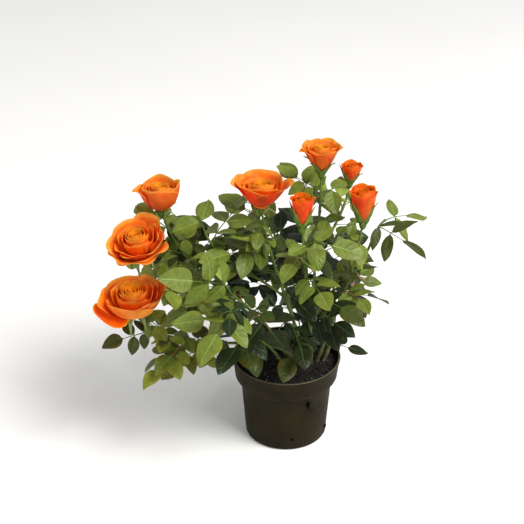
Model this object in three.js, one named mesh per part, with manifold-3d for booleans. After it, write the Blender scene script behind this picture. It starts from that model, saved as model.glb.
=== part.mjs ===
// A miniature rose bush in flower, growing in its round nursery pot.
//
// Millimetres, +Z up. The origin is the centre of the pot's flat underside.
//
// Every shoot is one curve. A shoot from the soil is bare at first: that part
// is a cane. Its leafy part belongs to a mass of foliage. A flowering shoot
// ends in a bare stalk with a rose on it. A side shoot leaves another shoot.
// Leaves are compound: a short axis with one or two pairs of leaflets and a
// leaflet at the end. They stand round the shoot in a spiral.

import * as THREE from 'three';
import { mergeVertices } from 'three/addons/utils/BufferGeometryUtils.js';
import Module from 'manifold-3d';

const wasm = await Module();
wasm.setup();

// Gap between pieces that meet.
const GAP = 0.3;

// Pot: outer radii and heights, wall, floor and the holes in the floor.
const POT_HEIGHT = 97;
const RIM_RADIUS = 60;
const LIP_HEIGHT = 2.5;
const LIP_DEPTH = 0.8;
const COLLAR_RADIUS = 56.5;
const COLLAR_BOTTOM = 74;
const SHOULDER_RADIUS = 50.3;
const SHOULDER_BOTTOM = 69;
const BASE_RADIUS = 45;
const BASE_CHAMFER = 1.5;
const WALL = 1.6;
const FLOOR = 2.2;
const POT_SIDES = 36;
const HOLES = 6;
const HOLE_RADIUS = 4.5;
const HOLE_CIRCLE = 28;
const HOLE_SIDES = 10;

// Soil: level of its flat middle, and how it sinks towards the wall.
const SOIL_TOP = 89;
const SOIL_FLAT_RADIUS = 45;
const SOIL_SINK = 2.5;

// Shoots: radius at the soil and at the tip, and rings along a curve.
const FOOT_RADIUS = 2.1;
const SIDE_RADIUS = 1.6;
const TIP_RADIUS = 1.2;
const RING_STEP = 15;
const HANDLE = 0.36;
const STALK = 18;

// Leaves: spiral, pitch of the leaf to its shoot, and lengths as parts of the
// end leaflet's length.
const TURN = 137.5;
const LIFT_LEAST = 45;
const LIFT_SPREAD = 20;
const END_LIFT = 12;
const PETIOLE = 0.38;
const PAIR_STEP = 0.46;
const SIDE_ALONG = 0.42;
const SIDE_OUT = 0.9;
const SHINGLE = 0.2;
const AXIS_RADIUS = 0.85;
const JOINT_HALF = 1;

// Leaflet outline: half width, upturn of the edges and droop of the tip, as
// parts of its length.
const HALF_WIDTH = 0.34;
const EDGE_RISE = 0.03;
const TIP_DROOP = 0.08;
const OUTLINE = [[0, 0], [0.27, 0.82], [0.66, 0.86], [1, 0], [0.66, -0.86], [0.27, -0.82]];
const LEAFLET_ROUND = 0.36;

// Leaves turn their faces towards the light and away from the bush's middle.
const LIGHT = [-0.12, -0.62, 0.78];
const CROWN = [-10, 10];
const OUTWARD = 0.004;

// Space kept: between masses, to limbs, round roses, between leaflets and
// round the pot.
const SPACE_MARGIN = 1.5;
const LIMB_CLEAR = 5;
const AXIS_CLEAR = 3;
const ROSE_CLEAR = 3;
const LEAF_CLEAR = 1;
const RIM_CLEAR = 6;
const RIM_CLEAR_ABOVE = 4;
const LOWEST_LEAF = 20;
const TURNS_TRIED = [0, 30, -30, 60, -60, 90];

// Shoots. 'soil' is a foot in the soil and 'at' a fork on another shoot; 'tip'
// is its end, 'from' and 'to' the directions it starts and ends in, 'bare' the
// part without leaves, 'size' the length of its end leaflets.
const SHOOTS = {
  left: {
    soil: [13, -7], tip: [-62, -22, 126],
    from: [-0.45, -0.1, 1], to: [-1, -0.15, 0.05],
  },
  left_low: {
    mass: 'left_low', at: ['left', 1], tip: [-162, -42, 179],
    from: [-1, -0.1, 0.05], to: [-0.35, -0.2, 1], bare: 0, leaves: 9, size: 30, seed: 947,
  },
  left_spray: {
    mass: 'left_low', at: ['left_low', 0.4], tip: [-108, -38, 134],
    from: [-0.4, -1, 0], to: [-0.6, -1, -0.1], bare: 0.5, leaves: 2, size: 34, seed: 76,
  },
  left_mid: {
    mass: 'left_mid', at: ['left', 0.72], bough: true, tip: [-155, -18, 236],
    from: [-0.6, 0.1, 0.7], to: [-0.6, -0.2, 0.8], bare: 0.15, leaves: 7, size: 42, seed: 935,
  },
  left_high: {
    mass: 'left_high', soil: [12, 6], tip: [-135, 25, 265],
    from: [-0.6, 0.1, 0.7], to: [-0.25, 0, 1], bare: 0.57, leaves: 9, size: 40, seed: 994,
  },
  inner_left: {
    mass: 'inner_left', soil: [4, -2], tip: [-58, -78, 221],
    from: [-0.4, -0.1, 0.9], to: [-0.5, -0.3, 0.7], bare: 0.15, leaves: 9, size: 42, seed: 871,
  },
  center: {
    mass: 'center', soil: [20, 2], tip: [-28, 5, 279],
    from: [-0.2, 0, 1], to: [-0.1, -0.1, 1], bare: 0.3, leaves: 8, size: 42, seed: 704,
  },
  center_left: {
    mass: 'center', at: ['center', 0.4], tip: [-86, -10, 254],
    from: [-0.7, 0.1, 0.7], to: [-0.4, 0, 1], bare: 0.3, leaves: 6, size: 38, seed: 530,
  },
  right_high: {
    mass: 'right_high', soil: [26, 7], tip: [36, 35, 305],
    from: [0, 0.1, 1], to: [0, 0, 1], bare: 0.5, leaves: 8, size: 38, seed: 390,
  },
  right_back: {
    mass: 'right_high', at: ['right_high', 0.54], tip: [69, 75, 274],
    from: [0.5, 0.5, 0.7], to: [0.1, 0.2, 1], bare: 0.2, leaves: 2, size: 38, seed: 319,
  },
  front: {
    mass: 'front', soil: [27, -7], tip: [14, -45, 282],
    from: [0, -0.1, 1], to: [-0.05, -0.1, 1], bare: 0.25, leaves: 9, size: 42, seed: 187,
  },
  right: {
    mass: 'right', soil: [34, -1], tip: [80, 10, 258],
    from: [0.3, 0, 1], to: [0.1, 0, 1], bare: 0.35, leaves: 5, size: 28, seed: 828,
  },
  right_spray: {
    mass: 'right', at: ['right', 0.7], tip: [106, 36, 246],
    from: [0.9, 0.3, 0.2], to: [1, 0.8, 0.3], bare: 0.35, leaves: 2, size: 42, seed: 255,
  },
  right_low: {
    mass: 'right_low', soil: [41, 0], tip: [56, 36, 180],
    from: [0.45, 0.1, 0.9], to: [0.3, 0.2, 0.9], bare: 0.5, leaves: 5, size: 36, seed: 744,
  },
  base_right: {
    mass: 'base_right', soil: [38, 10], tip: [48, 10, 102],
    from: [0.8, 0.1, 0.5], to: [1, 0.1, 0.1], bare: 0.4, leaves: 3, size: 26, seed: 819,
  },
  base_left: {
    mass: 'base_left', soil: [2, -16], tip: [-34, -34, 138],
    from: [-0.6, -0.4, 0.8], to: [-0.8, -0.4, 0.4], bare: 0.6, leaves: 2, size: 42, seed: 847,
  },
  base_front: {
    mass: 'base_front', soil: [22, -14], tip: [0, -40, 162],
    from: [-0.2, -0.4, 0.8], to: [-0.4, -0.6, 0.4], bare: 0.6, leaves: 5, size: 32, seed: 985,
  },
  back: {
    mass: 'back', soil: [16, 16], tip: [-14, 77, 211],
    from: [-0.2, 0.4, 0.9], to: [-0.2, 0.4, 0.9], bare: 0.55, leaves: 5, size: 42, seed: 938,
  },
  back_right: {
    mass: 'back_right', soil: [30, 18], tip: [22, 96, 175],
    from: [0.2, 0.5, 0.8], to: [0.2, 0.5, 0.8], bare: 0.2, leaves: 9, size: 42, seed: 113,
  },
  back_left: {
    mass: 'back_left', soil: [2, 12], tip: [-95, 70, 175],
    from: [-0.6, 0.4, 0.8], to: [-0.7, 0.3, 0.7], bare: 0.45, leaves: 8, size: 42, seed: 872,
  },
};

// Roses by the shoot that carries them: radius, height, axis and how open.
const ROSES = {
  left_low: { open: 'wide', radius: 35, height: 28, axis: [-0.2, -0.45, 0.87] },
  left_mid: { open: 'wide', radius: 30, height: 28, axis: [-0.3, -0.4, 0.87] },
  left_high: { open: 'half', radius: 25, height: 33, axis: [-0.05, 0, 1] },
  center: { open: 'half', radius: 32, height: 34, axis: [0, 0, 1] },
  right_high: { open: 'half', radius: 22, height: 31, axis: [0, 0, 1] },
  right_back: { open: 'bud', radius: 12, height: 22, axis: [0.2, 0.1, 1] },
  front: { open: 'bud', radius: 13, height: 37, axis: [0, 0, 1] },
  right: { open: 'bud', radius: 15, height: 41, axis: [-0.03, 0, 1] },
};

// Rings over a rose from its underside to its heart: radius and height as
// parts of the rose's own, depth of the lobes, and 1 where the lobes stand
// between those of the outer petals.
const ROSE_RINGS = {
  wide: [
    [0.45, 0.04, 0, 0], [0.8, 0.24, 0.06, 0], [1, 0.54, 0.12, 0], [0.94, 0.6, 0.12, 0],
    [0.62, 0.42, 0.04, 0], [0.76, 0.84, 0.12, 1], [0.69, 0.88, 0.12, 1], [0.42, 0.6, 0.04, 1],
    [0.42, 0.96, 0.14, 0], [0.34, 1, 0.14, 0], [0.16, 0.78, 0, 0],
  ],
  half: [
    [0.5, 0.04, 0, 0], [0.82, 0.32, 0.05, 0], [0.88, 0.6, 0.07, 0], [1, 0.8, 0.12, 0],
    [0.94, 0.84, 0.12, 0], [0.66, 0.6, 0.04, 0], [0.74, 0.95, 0.12, 1], [0.67, 0.98, 0.12, 1],
    [0.42, 0.72, 0.04, 1], [0.4, 1, 0.12, 0], [0.3, 1, 0.12, 0], [0.14, 0.85, 0, 0],
  ],
  bud: [
    [0.7, 0.06, 0, 0], [1, 0.32, 0.04, 0], [0.95, 0.62, 0.06, 0], [0.84, 0.9, 0.16, 0],
    [0.72, 0.92, 0.16, 0], [0.5, 0.8, 0.04, 1], [0.5, 0.98, 0.1, 1], [0.3, 1, 0.1, 1],
  ],
};
const ROSE_SIDES = { wide: 15, half: 15, bud: 9 };
const ROSE_LOBES = { wide: 5, half: 5, bud: 3 };
const HIP_RADIUS = 4.2;
const HIP_HEIGHT = 9;
const SEPALS = 5;
const SEPAL_LENGTH = 17;
const SEPAL_WIDTH = 0.16;
const SEPAL_PITCH = { wide: -25, half: 0, bud: 78 };

// Colours and surfaces.
const finish = (color, roughness) => new THREE.MeshStandardMaterial({ color, roughness, metalness: 0 });
const POT_FINISH = finish(0x3b3528, 0.55);
const SOIL_FINISH = finish(0x1b1612, 1);
const CANE_FINISH = finish(0x76863c, 0.6);
const LEAF_FINISH = finish(0x5d7a33, 0.5);
const ROSE_FINISH = finish(0xf0701c, 0.6);

// ---- Small helpers ----

const vec = (x, y, z) => new THREE.Vector3(x, y, z);
const unit = (v) => v.clone().normalize();
const cross = (a, b) => new THREE.Vector3().crossVectors(a, b);
const radians = (degrees) => degrees * Math.PI / 180;
const along = (p, d, s) => p.clone().addScaledVector(d, s);

// Numbers in 0..1, the same ones every time for one seed.
function seeded(seed) {
  let state = Math.imul(seed, 2654435761) >>> 0;
  return () => {
    state = (state + 0x6D2B79F5) >>> 0;
    let t = Math.imul(state ^ (state >>> 15), state | 1);
    t ^= t + Math.imul(t ^ (t >>> 7), t | 61);
    return ((t ^ (t >>> 14)) >>> 0) / 4294967296;
  };
}

// Two directions square to d and to each other.
function across(d) {
  const a = unit(cross(vec(0, 1, 0), d));
  return [a, cross(d, a)];
}

// ---- Closed surfaces ----

function geometryOf(points, faces) {
  const geometry = new THREE.BufferGeometry();
  geometry.setAttribute('position', new THREE.Float32BufferAttribute(points.flatMap((p) => [p.x, p.y, p.z]), 3));
  geometry.setIndex(faces.flat());
  return geometry;
}

// A limb through points with one radius each; its ends are flat, and the first
// is level when it stands on the ground.
function limb(points, radii, sides, level = false) {
  const ring = [];
  points.forEach((p, i) => {
    const before = points[Math.max(i - 1, 0)];
    const after = points[Math.min(i + 1, points.length - 1)];
    const direction = level && i === 0 ? vec(0, 0, 1) : unit(after.clone().sub(before));
    const [a, b] = across(direction);
    for (let k = 0; k < sides; k++) {
      const turn = 2 * Math.PI * k / sides;
      ring.push(along(along(p, a, radii[i] * Math.cos(turn)), b, radii[i] * Math.sin(turn)));
    }
  });
  const faces = [];
  for (let i = 0; i + 1 < points.length; i++) {
    for (let k = 0; k < sides; k++) {
      const a = i * sides + k;
      const b = i * sides + (k + 1) % sides;
      faces.push([a, b, b + sides], [a, b + sides, a + sides]);
    }
  }
  const last = (points.length - 1) * sides;
  for (let k = 1; k + 1 < sides; k++) {
    faces.push([0, k + 1, k], [last, last + k, last + k + 1]);
  }
  return geometryOf(ring, faces);
}

// The corners of a leaflet round its edge, from its root.
function leafletCorners({ root, direction, normal, length }, half = HALF_WIDTH) {
  const side = cross(normal, direction);
  return OUTLINE.map(([u, v]) => {
    const rise = Math.abs(v) * EDGE_RISE - TIP_DROOP * u * u;
    const corner = along(along(root, direction, u * length), side, v * half * length);
    return along(corner, normal, rise * length);
  });
}

// A blade on its own, such as a sepal: rungs above and a keel below.
function blade(leaflet, half) {
  const top = [[0, 5, 1], [1, 5, 4], [1, 4, 2], [2, 4, 3]];
  const keel = [[0, 1, 3], [1, 2, 3], [0, 3, 5], [3, 4, 5]];
  return geometryOf(leafletCorners(leaflet, half), [...top, ...keel]);
}

// A whole compound leaf as one closed skin. Its axis is three-sided, with a
// flat top and a keel, and each leaflet opens out of a face of the axis.
function leafBody({ axis, leaflets, run, normal }) {
  const points = [];
  const faces = [];
  const add = (p) => points.push(p) - 1;
  const ring = (p, direction, radius) => {
    const side = unit(cross(normal, direction));
    const up = cross(direction, side);
    const top = along(p, up, radius / 2);
    return [add(along(top, side, radius)), add(along(top, side, -radius)), add(along(p, up, -radius))];
  };
  const quad = (a, b, c, d) => faces.push([a, b, c], [a, c, d]);
  const open = (topLeft, topRight, keelLeft, keelRight, leaflet) => {
    const [l1, l2, tip, r2, r1] = leafletCorners(leaflet).slice(1).map(add);
    quad(topLeft, topRight, r1, l1);
    quad(l1, r1, r2, l2);
    faces.push([l2, r2, tip], [topLeft, l1, keelLeft], [topRight, keelRight, r1]);
    faces.push([keelLeft, l1, tip], [l1, l2, tip], [keelRight, tip, r1], [tip, r2, r1]);
    if (keelLeft !== keelRight) faces.push([keelLeft, tip, keelRight]);
  };
  const radius = (i) => AXIS_RADIUS * (1.2 - 0.15 * i);
  let [left, right, keel] = ring(axis[0], unit(axis[1].clone().sub(axis[0])), radius(0));
  faces.push([left, keel, right]);
  const step = (next) => {
    const [nextLeft, nextRight, nextKeel] = next;
    quad(left, right, nextRight, nextLeft);
    quad(keel, left, nextLeft, nextKeel);
    quad(right, keel, nextKeel, nextRight);
    [left, right, keel] = next;
  };
  for (let k = 1; k < axis.length; k++) {
    const here = leaflets.filter((leaflet) => leaflet.joint === k);
    const [leftLeaflet, rightLeaflet] = [1, -1].map((hand) => here.find((leaflet) => leaflet.hand === hand));
    if (leftLeaflet || rightLeaflet) {
      step(ring(along(axis[k], run, -JOINT_HALF), run, radius(k)));
      const [nextLeft, nextRight, nextKeel] = ring(along(axis[k], run, JOINT_HALF), run, radius(k));
      quad(left, right, nextRight, nextLeft);
      if (leftLeaflet) open(left, nextLeft, keel, nextKeel, leftLeaflet);
      else quad(keel, left, nextLeft, nextKeel);
      if (rightLeaflet) open(nextRight, right, nextKeel, keel, rightLeaflet);
      else quad(right, keel, nextKeel, nextRight);
      [left, right, keel] = [nextLeft, nextRight, nextKeel];
    } else {
      step(ring(axis[k], run, radius(k)));
    }
    const last = here.find((leaflet) => leaflet.hand === 0);
    if (last) open(left, right, keel, keel, last);
    else if (k === axis.length - 1) faces.push([left, right, keel]);
  }
  return geometryOf(points, faces);
}

function turned(profile, sides) {
  return new THREE.LatheGeometry(profile.map(([r, z]) => new THREE.Vector2(r, z)), sides).rotateX(Math.PI / 2);
}

// ---- Solids ----

function solid(geometry) {
  const bare = geometry.clone();
  bare.deleteAttribute('normal');
  bare.deleteAttribute('uv');
  const merged = mergeVertices(bare, 1e-4);
  const index = [];
  const all = merged.index.array;
  for (let i = 0; i < all.length; i += 3) {
    const [a, b, c] = [all[i], all[i + 1], all[i + 2]];
    if (a !== b && b !== c && a !== c) index.push(a, b, c);
  }
  return new wasm.Manifold(new wasm.Mesh({
    numProp: 3,
    vertProperties: new Float32Array(merged.attributes.position.array),
    triVerts: new Uint32Array(index),
  }));
}

function joined(geometries) {
  let whole = solid(geometries[0]);
  for (const geometry of geometries.slice(1)) whole = whole.add(solid(geometry));
  return whole;
}

// The outer skin alone, without loose crumbs or hollows shut inside.
function skin(whole) {
  const shells = whole.decompose().filter((shell) => shell.volume() > 0);
  shells.sort((a, b) => b.volume() - a.volume());
  return shells[0];
}

function bodyOf(whole) {
  const mesh = whole.getMesh();
  const geometry = new THREE.BufferGeometry();
  geometry.setAttribute('position', new THREE.BufferAttribute(new Float32Array(mesh.vertProperties), 3));
  geometry.setIndex(new THREE.BufferAttribute(new Uint32Array(mesh.triVerts), 1));
  return geometry;
}

const bush = new THREE.Group();

// Adds a named piece whose own origin is at 'start'.
function place(name, geometry, material, start) {
  const mesh = new THREE.Mesh(geometry.translate(-start.x, -start.y, -start.z), material);
  mesh.geometry.computeVertexNormals();
  mesh.name = name;
  mesh.position.copy(start);
  bush.add(mesh);
}

// ---- Pot and soil ----

function buildPot() {
  const inside = WALL;
  const profile = [
    [0, 0],
    [BASE_RADIUS - BASE_CHAMFER, 0],
    [BASE_RADIUS, BASE_CHAMFER],
    [SHOULDER_RADIUS, SHOULDER_BOTTOM],
    [COLLAR_RADIUS, COLLAR_BOTTOM],
    [RIM_RADIUS - LIP_DEPTH, POT_HEIGHT - LIP_HEIGHT],
    [RIM_RADIUS, POT_HEIGHT - LIP_HEIGHT + 0.6],
    [RIM_RADIUS, POT_HEIGHT - 0.6],
    [RIM_RADIUS - 0.6, POT_HEIGHT],
    [RIM_RADIUS - LIP_DEPTH - inside, POT_HEIGHT],
    [COLLAR_RADIUS - inside, COLLAR_BOTTOM + 0.8],
    [SHOULDER_RADIUS - inside, SHOULDER_BOTTOM + 0.8],
    [BASE_RADIUS - inside, FLOOR],
    [0, FLOOR],
  ];
  let pot = solid(turned(profile, POT_SIDES));
  for (let k = 0; k < HOLES; k++) {
    const turn = 2 * Math.PI * k / HOLES;
    const drill = new THREE.CylinderGeometry(HOLE_RADIUS, HOLE_RADIUS, 3 * FLOOR, HOLE_SIDES);
    drill.rotateX(Math.PI / 2);
    drill.translate(HOLE_CIRCLE * Math.cos(turn), HOLE_CIRCLE * Math.sin(turn), FLOOR / 2);
    pot = pot.subtract(solid(drill));
  }
  place('pot', bodyOf(pot), POT_FINISH, vec(0, 0, 0));
}

function buildSoil() {
  const clear = WALL + GAP;
  const slope = (RIM_RADIUS - LIP_DEPTH - COLLAR_RADIUS) / (POT_HEIGHT - COLLAR_BOTTOM);
  const edge = SOIL_TOP - SOIL_SINK;
  const profile = [
    [0, FLOOR + GAP],
    [BASE_RADIUS - clear, FLOOR + GAP],
    [SHOULDER_RADIUS - clear, SHOULDER_BOTTOM + 0.8],
    [COLLAR_RADIUS - clear, COLLAR_BOTTOM + 0.8],
    [COLLAR_RADIUS - clear + slope * (edge - COLLAR_BOTTOM) - GAP, edge],
    [SOIL_FLAT_RADIUS, SOIL_TOP],
    [0, SOIL_TOP],
  ];
  place('soil', bodyOf(solid(turned(profile, POT_SIDES))), SOIL_FINISH, vec(0, 0, 0));
}

// ---- Shoots ----

const curves = {};

function curveOf(name) {
  if (!curves[name]) {
    const shoot = SHOOTS[name];
    const foot = shoot.soil ? vec(...shoot.soil, SOIL_TOP) : pointOn(...shoot.at);
    const tip = vec(...shoot.tip);
    const length = foot.distanceTo(tip);
    const second = along(foot, unit(vec(...shoot.from)), HANDLE * length);
    const third = along(tip, unit(vec(...shoot.to)), -HANDLE * length);
    curves[name] = { path: new THREE.CubicBezierCurve3(foot, second, third, tip), length };
  }
  return curves[name];
}

const pointOn = (name, t) => curveOf(name).path.getPoint(t);

function directionOn(name, t) {
  const { v0, v1, v2, v3 } = curveOf(name).path;
  const d = vec(0, 0, 0);
  d.addScaledVector(v1.clone().sub(v0), (1 - t) ** 2);
  d.addScaledVector(v2.clone().sub(v1), 2 * t * (1 - t));
  d.addScaledVector(v3.clone().sub(v2), t * t);
  return unit(d);
}

function radiusOn(name, t) {
  const foot = SHOOTS[name].soil ? FOOT_RADIUS : SIDE_RADIUS;
  const tip = SHOOTS[name].mass ? TIP_RADIUS : SIDE_RADIUS;
  return foot + (tip - foot) * t;
}

// Where the leafy part ends: below the stalk of a rose, or at the tip.
const leafyEnd = (name) => (ROSES[name] ? 1 - STALK / curveOf(name).length : 1);
const gapOn = (name) => GAP / curveOf(name).length;

function limbOn(name, from, to, sides, level = false, extra = 0) {
  const rings = Math.max(2, Math.ceil((to - from) * curveOf(name).length / RING_STEP) + 1);
  const points = [];
  const radii = [];
  for (let i = 0; i < rings; i++) {
    const t = from + (to - from) * i / (rings - 1);
    points.push(pointOn(name, t));
    radii.push(radiusOn(name, t) + extra);
  }
  if (level) points[0].z = SOIL_TOP + GAP;
  return limb(points, radii, sides, level);
}

// ---- The space of each mass ----

const masses = [...new Set(Object.values(SHOOTS).map((shoot) => shoot.mass).filter(Boolean))];
const axisPoints = [];
const limbParts = [];
const roseSpaces = [];

function surveyBush() {
  for (const [name, shoot] of Object.entries(SHOOTS)) {
    for (let k = 0; k < 9 && shoot.mass; k++) {
      const t = shoot.bare + (1 - shoot.bare) * k / 8;
      axisPoints.push({ point: pointOn(name, t), mass: shoot.mass });
    }
    for (let k = 0; k < 14; k++) {
      const part = new THREE.Line3(pointOn(name, k / 14), pointOn(name, (k + 1) / 14));
      limbParts.push({ name, part, bare: (k + 1) / 14 <= (shoot.bare ?? 1) });
    }
  }
  for (const [name, rose] of Object.entries(ROSES)) {
    const axis = unit(vec(...rose.axis));
    roseSpaces.push({
      middle: along(pointOn(name, 1), axis, 0.55 * rose.height),
      axis,
      radius: rose.radius + ROSE_CLEAR,
      half: rose.height / 2 + ROSE_CLEAR + 1,
    });
  }
}

function inOwnSpace(p, mass) {
  let own = Infinity;
  let other = Infinity;
  for (const { point, mass: theirs } of axisPoints) {
    const d = p.distanceTo(point);
    if (theirs === mass) own = Math.min(own, d);
    else other = Math.min(other, d);
  }
  return other - own >= SPACE_MARGIN;
}

function clearOfLimbs(p, shootName, clear) {
  const near = new THREE.Vector3();
  return limbParts.every(({ name, part, bare }) => {
    if (name === shootName && !bare) return true;
    part.closestPointToPoint(p, true, near);
    return near.distanceTo(p) >= clear;
  });
}

function clearOfRoses(p) {
  return roseSpaces.every(({ middle, axis, radius, half }) => {
    const v = p.clone().sub(middle);
    const up = v.dot(axis);
    const out = v.lengthSq() - up * up;
    return out / (radius * radius) + up * up / (half * half) >= 1;
  });
}

function clearOfPot(p) {
  const out = Math.hypot(p.x, p.y);
  if (p.z < LOWEST_LEAF) return false;
  return out >= RIM_RADIUS + RIM_CLEAR || p.z >= POT_HEIGHT + RIM_CLEAR_ABOVE;
}

function fits(points, shootName, clear) {
  const mass = SHOOTS[shootName].mass;
  return points.every((p) => inOwnSpace(p, mass) && clearOfLimbs(p, shootName, clear)
    && clearOfRoses(p) && clearOfPot(p));
}

// ---- Leaves ----

// One compound leaf: the points of its axis and its leaflets, each with the
// joint of the axis it grows from and the hand it is on.
function leafAt(p, direction, leaf) {
  const [a, b] = across(direction);
  const round = radians(leaf.turn);
  const spread = along(a.clone().multiplyScalar(Math.cos(round)), b, Math.sin(round));
  const rise = unit(along(direction.clone().multiplyScalar(Math.cos(leaf.lift)), spread, Math.sin(leaf.lift)));
  const run = unit(vec(rise.x, rise.y, rise.z * 0.45 - leaf.bend));
  let joint = along(p, rise, leaf.size * PETIOLE);
  const face = vec(...LIGHT).add(leaf.jitter);
  face.add(vec(joint.x - CROWN[0], joint.y - CROWN[1], 0).multiplyScalar(OUTWARD));
  const flat = unit(along(face, run, -face.dot(run)));
  const tilt = cross(flat, run);
  const normal = unit(along(flat.clone().multiplyScalar(Math.cos(leaf.roll)), tilt, Math.sin(leaf.roll)));
  const side = cross(normal, run);
  const axis = [p, joint];
  const leaflets = [];
  for (let k = 0; k < leaf.pairs; k++) {
    const length = leaf.size * (0.84 - 0.12 * (leaf.pairs - 1 - k));
    for (const hand of [1, -1]) {
      const aim = run.clone().multiplyScalar(SIDE_ALONG);
      aim.addScaledVector(side, hand * SIDE_OUT).addScaledVector(normal, -0.1).normalize();
      const up = along(normal, run, -SHINGLE);
      const upright = unit(along(up, aim, -up.dot(aim)));
      leaflets.push({ joint: k + 1, hand, root: joint, direction: aim, normal: upright, length });
    }
    joint = along(joint, run, leaf.size * PAIR_STEP);
    axis.push(joint);
  }
  leaflets.push({ joint: leaf.pairs + 1, hand: 0, root: joint, direction: run, normal, length: leaf.size });
  return { axis, leaflets, run, normal };
}

// True where one of the segments passes through a leaflet or close by it.
function crossed({ root, direction, normal, length }, segments) {
  const middle = along(along(root, direction, 0.5 * length), normal, -0.02 * length);
  const side = cross(normal, direction);
  return segments.some(([from, to]) => {
    const a = from.clone().sub(middle);
    const b = to.clone().sub(middle);
    const [above, below] = [a.dot(normal), b.dot(normal)];
    const drop = above - below;
    const t = Math.min(1, Math.max(0, above / (Math.abs(drop) < 1e-9 ? 1e-9 : drop)));
    if (Math.abs(above * (1 - t) + below * t) >= LEAF_CLEAR) return false;
    const m = a.lerp(b, t);
    const u = m.dot(direction) / (0.5 * length);
    const v = m.dot(side) / (LEAFLET_ROUND * length);
    return u * u + v * v < 1;
  });
}

function edgesOf(leaflet) {
  const corners = leafletCorners(leaflet);
  return corners.map((corner, i) => [corner, corners[(i + 1) % corners.length]]);
}

// The leaf turned so that most of its leaflets have room. 'grown' holds what
// the mass has already: its segments and its leaflets.
function bestLeaf(name, p, direction, leaf, grown) {
  let best = { axis: [], leaflets: [] };
  for (const turn of TURNS_TRIED) {
    const tried = leafAt(p, direction, { ...leaf, turn: leaf.turn + turn });
    const { axis } = tried;
    let reach = 0;
    while (reach + 1 < axis.length && fits([axis[reach + 1]], name, AXIS_CLEAR)
      && !grown.leaflets.some((other) => crossed(other, [[axis[reach], axis[reach + 1]]]))) reach++;
    const kept = tried.leaflets.filter((leaflet) => leaflet.joint <= reach
      && fits(leafletCorners(leaflet).slice(1), name, LIMB_CLEAR)
      && !crossed(leaflet, grown.segments)
      && !grown.leaflets.some((other) => crossed(other, edgesOf(leaflet))));
    if (kept.length > best.leaflets.length) best = { ...tried, leaflets: kept };
    if (kept.length === tried.leaflets.length) break;
  }
  const last = Math.max(0, ...best.leaflets.map((leaflet) => leaflet.joint));
  const axis = best.axis.slice(0, last + 1);
  for (let k = 0; k + 1 < axis.length; k++) grown.segments.push([axis[k], axis[k + 1]]);
  best.leaflets.forEach((leaflet) => grown.segments.push(...edgesOf(leaflet)));
  grown.leaflets.push(...best.leaflets);
  return { ...best, axis };
}

function leavesOf(name, grown) {
  const shoot = SHOOTS[name];
  const flowering = name in ROSES;
  const draw = seeded(shoot.seed);
  const phase = 360 * draw();
  const leaves = [];
  for (let i = 0; i < shoot.leaves; i++) {
    const place = flowering ? (i + 0.5) / shoot.leaves : (i + 1) / shoot.leaves;
    const t = shoot.bare + (leafyEnd(name) - shoot.bare) * place;
    const size = shoot.size * (0.85 + 0.25 * draw()) * (flowering ? 1 - 0.2 * i / shoot.leaves : 1);
    const small = draw() < 0.3 || (flowering && i === shoot.leaves - 1);
    const aside = flowering || i < shoot.leaves - 1;
    const lift = radians(aside ? LIFT_LEAST + LIFT_SPREAD * draw() : END_LIFT);
    const bend = 0.05 + 0.4 * draw();
    const roll = (draw() - 0.5) * 0.8;
    const jitter = vec(draw() - 0.5, draw() - 0.5, draw() - 0.5).multiplyScalar(0.7);
    const turn = phase + i * TURN + (draw() - 0.5) * 30;
    const leaf = { size, pairs: small ? 1 : 2, lift, bend, roll, jitter, turn };
    leaves.push(bestLeaf(name, pointOn(name, t), directionOn(name, t), leaf, grown));
  }
  return leaves;
}

function buildMass(mass) {
  const shoots = Object.keys(SHOOTS).filter((name) => SHOOTS[name].mass === mass);
  const grown = { segments: [], leaflets: [] };
  const starts = shoots.map((name, n) => (n === 0 ? SHOOTS[name].bare : 0));
  shoots.forEach((name, n) => {
    const at = (k) => pointOn(name, starts[n] + (leafyEnd(name) - starts[n]) * k / 8);
    for (let k = 0; k < 8; k++) grown.segments.push([at(k), at(k + 1)]);
  });
  const pieces = [];
  shoots.forEach((name, n) => {
    pieces.push(limbOn(name, n === 0 ? starts[n] + gapOn(name) : 0, leafyEnd(name), 5));
    const leaves = leavesOf(name, grown).filter((leaf) => leaf.leaflets.length > 0);
    pieces.push(...leaves.map(leafBody));
  });
  place(`foliage_${mass}`, bodyOf(skin(joined(pieces))), LEAF_FINISH, pointOn(shoots[0], starts[0]));
}

// ---- Canes and boughs ----

function buildLimbs() {
  for (const [name, shoot] of Object.entries(SHOOTS)) {
    const end = shoot.mass ? shoot.bare : 1;
    if (shoot.soil) {
      place(`cane_${name}`, bodyOf(solid(limbOn(name, 0, end, 6, true))), CANE_FINISH, pointOn(name, 0));
    } else if (shoot.bough) {
      const parent = solid(limbOn(shoot.at[0], 0, 1, 6, false, GAP));
      const bough = skin(solid(limbOn(name, 0, end, 6)).subtract(parent));
      place(`bough_${name}`, bodyOf(bough), CANE_FINISH, pointOn(name, 0));
    }
  }
}

// ---- Roses ----

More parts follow.
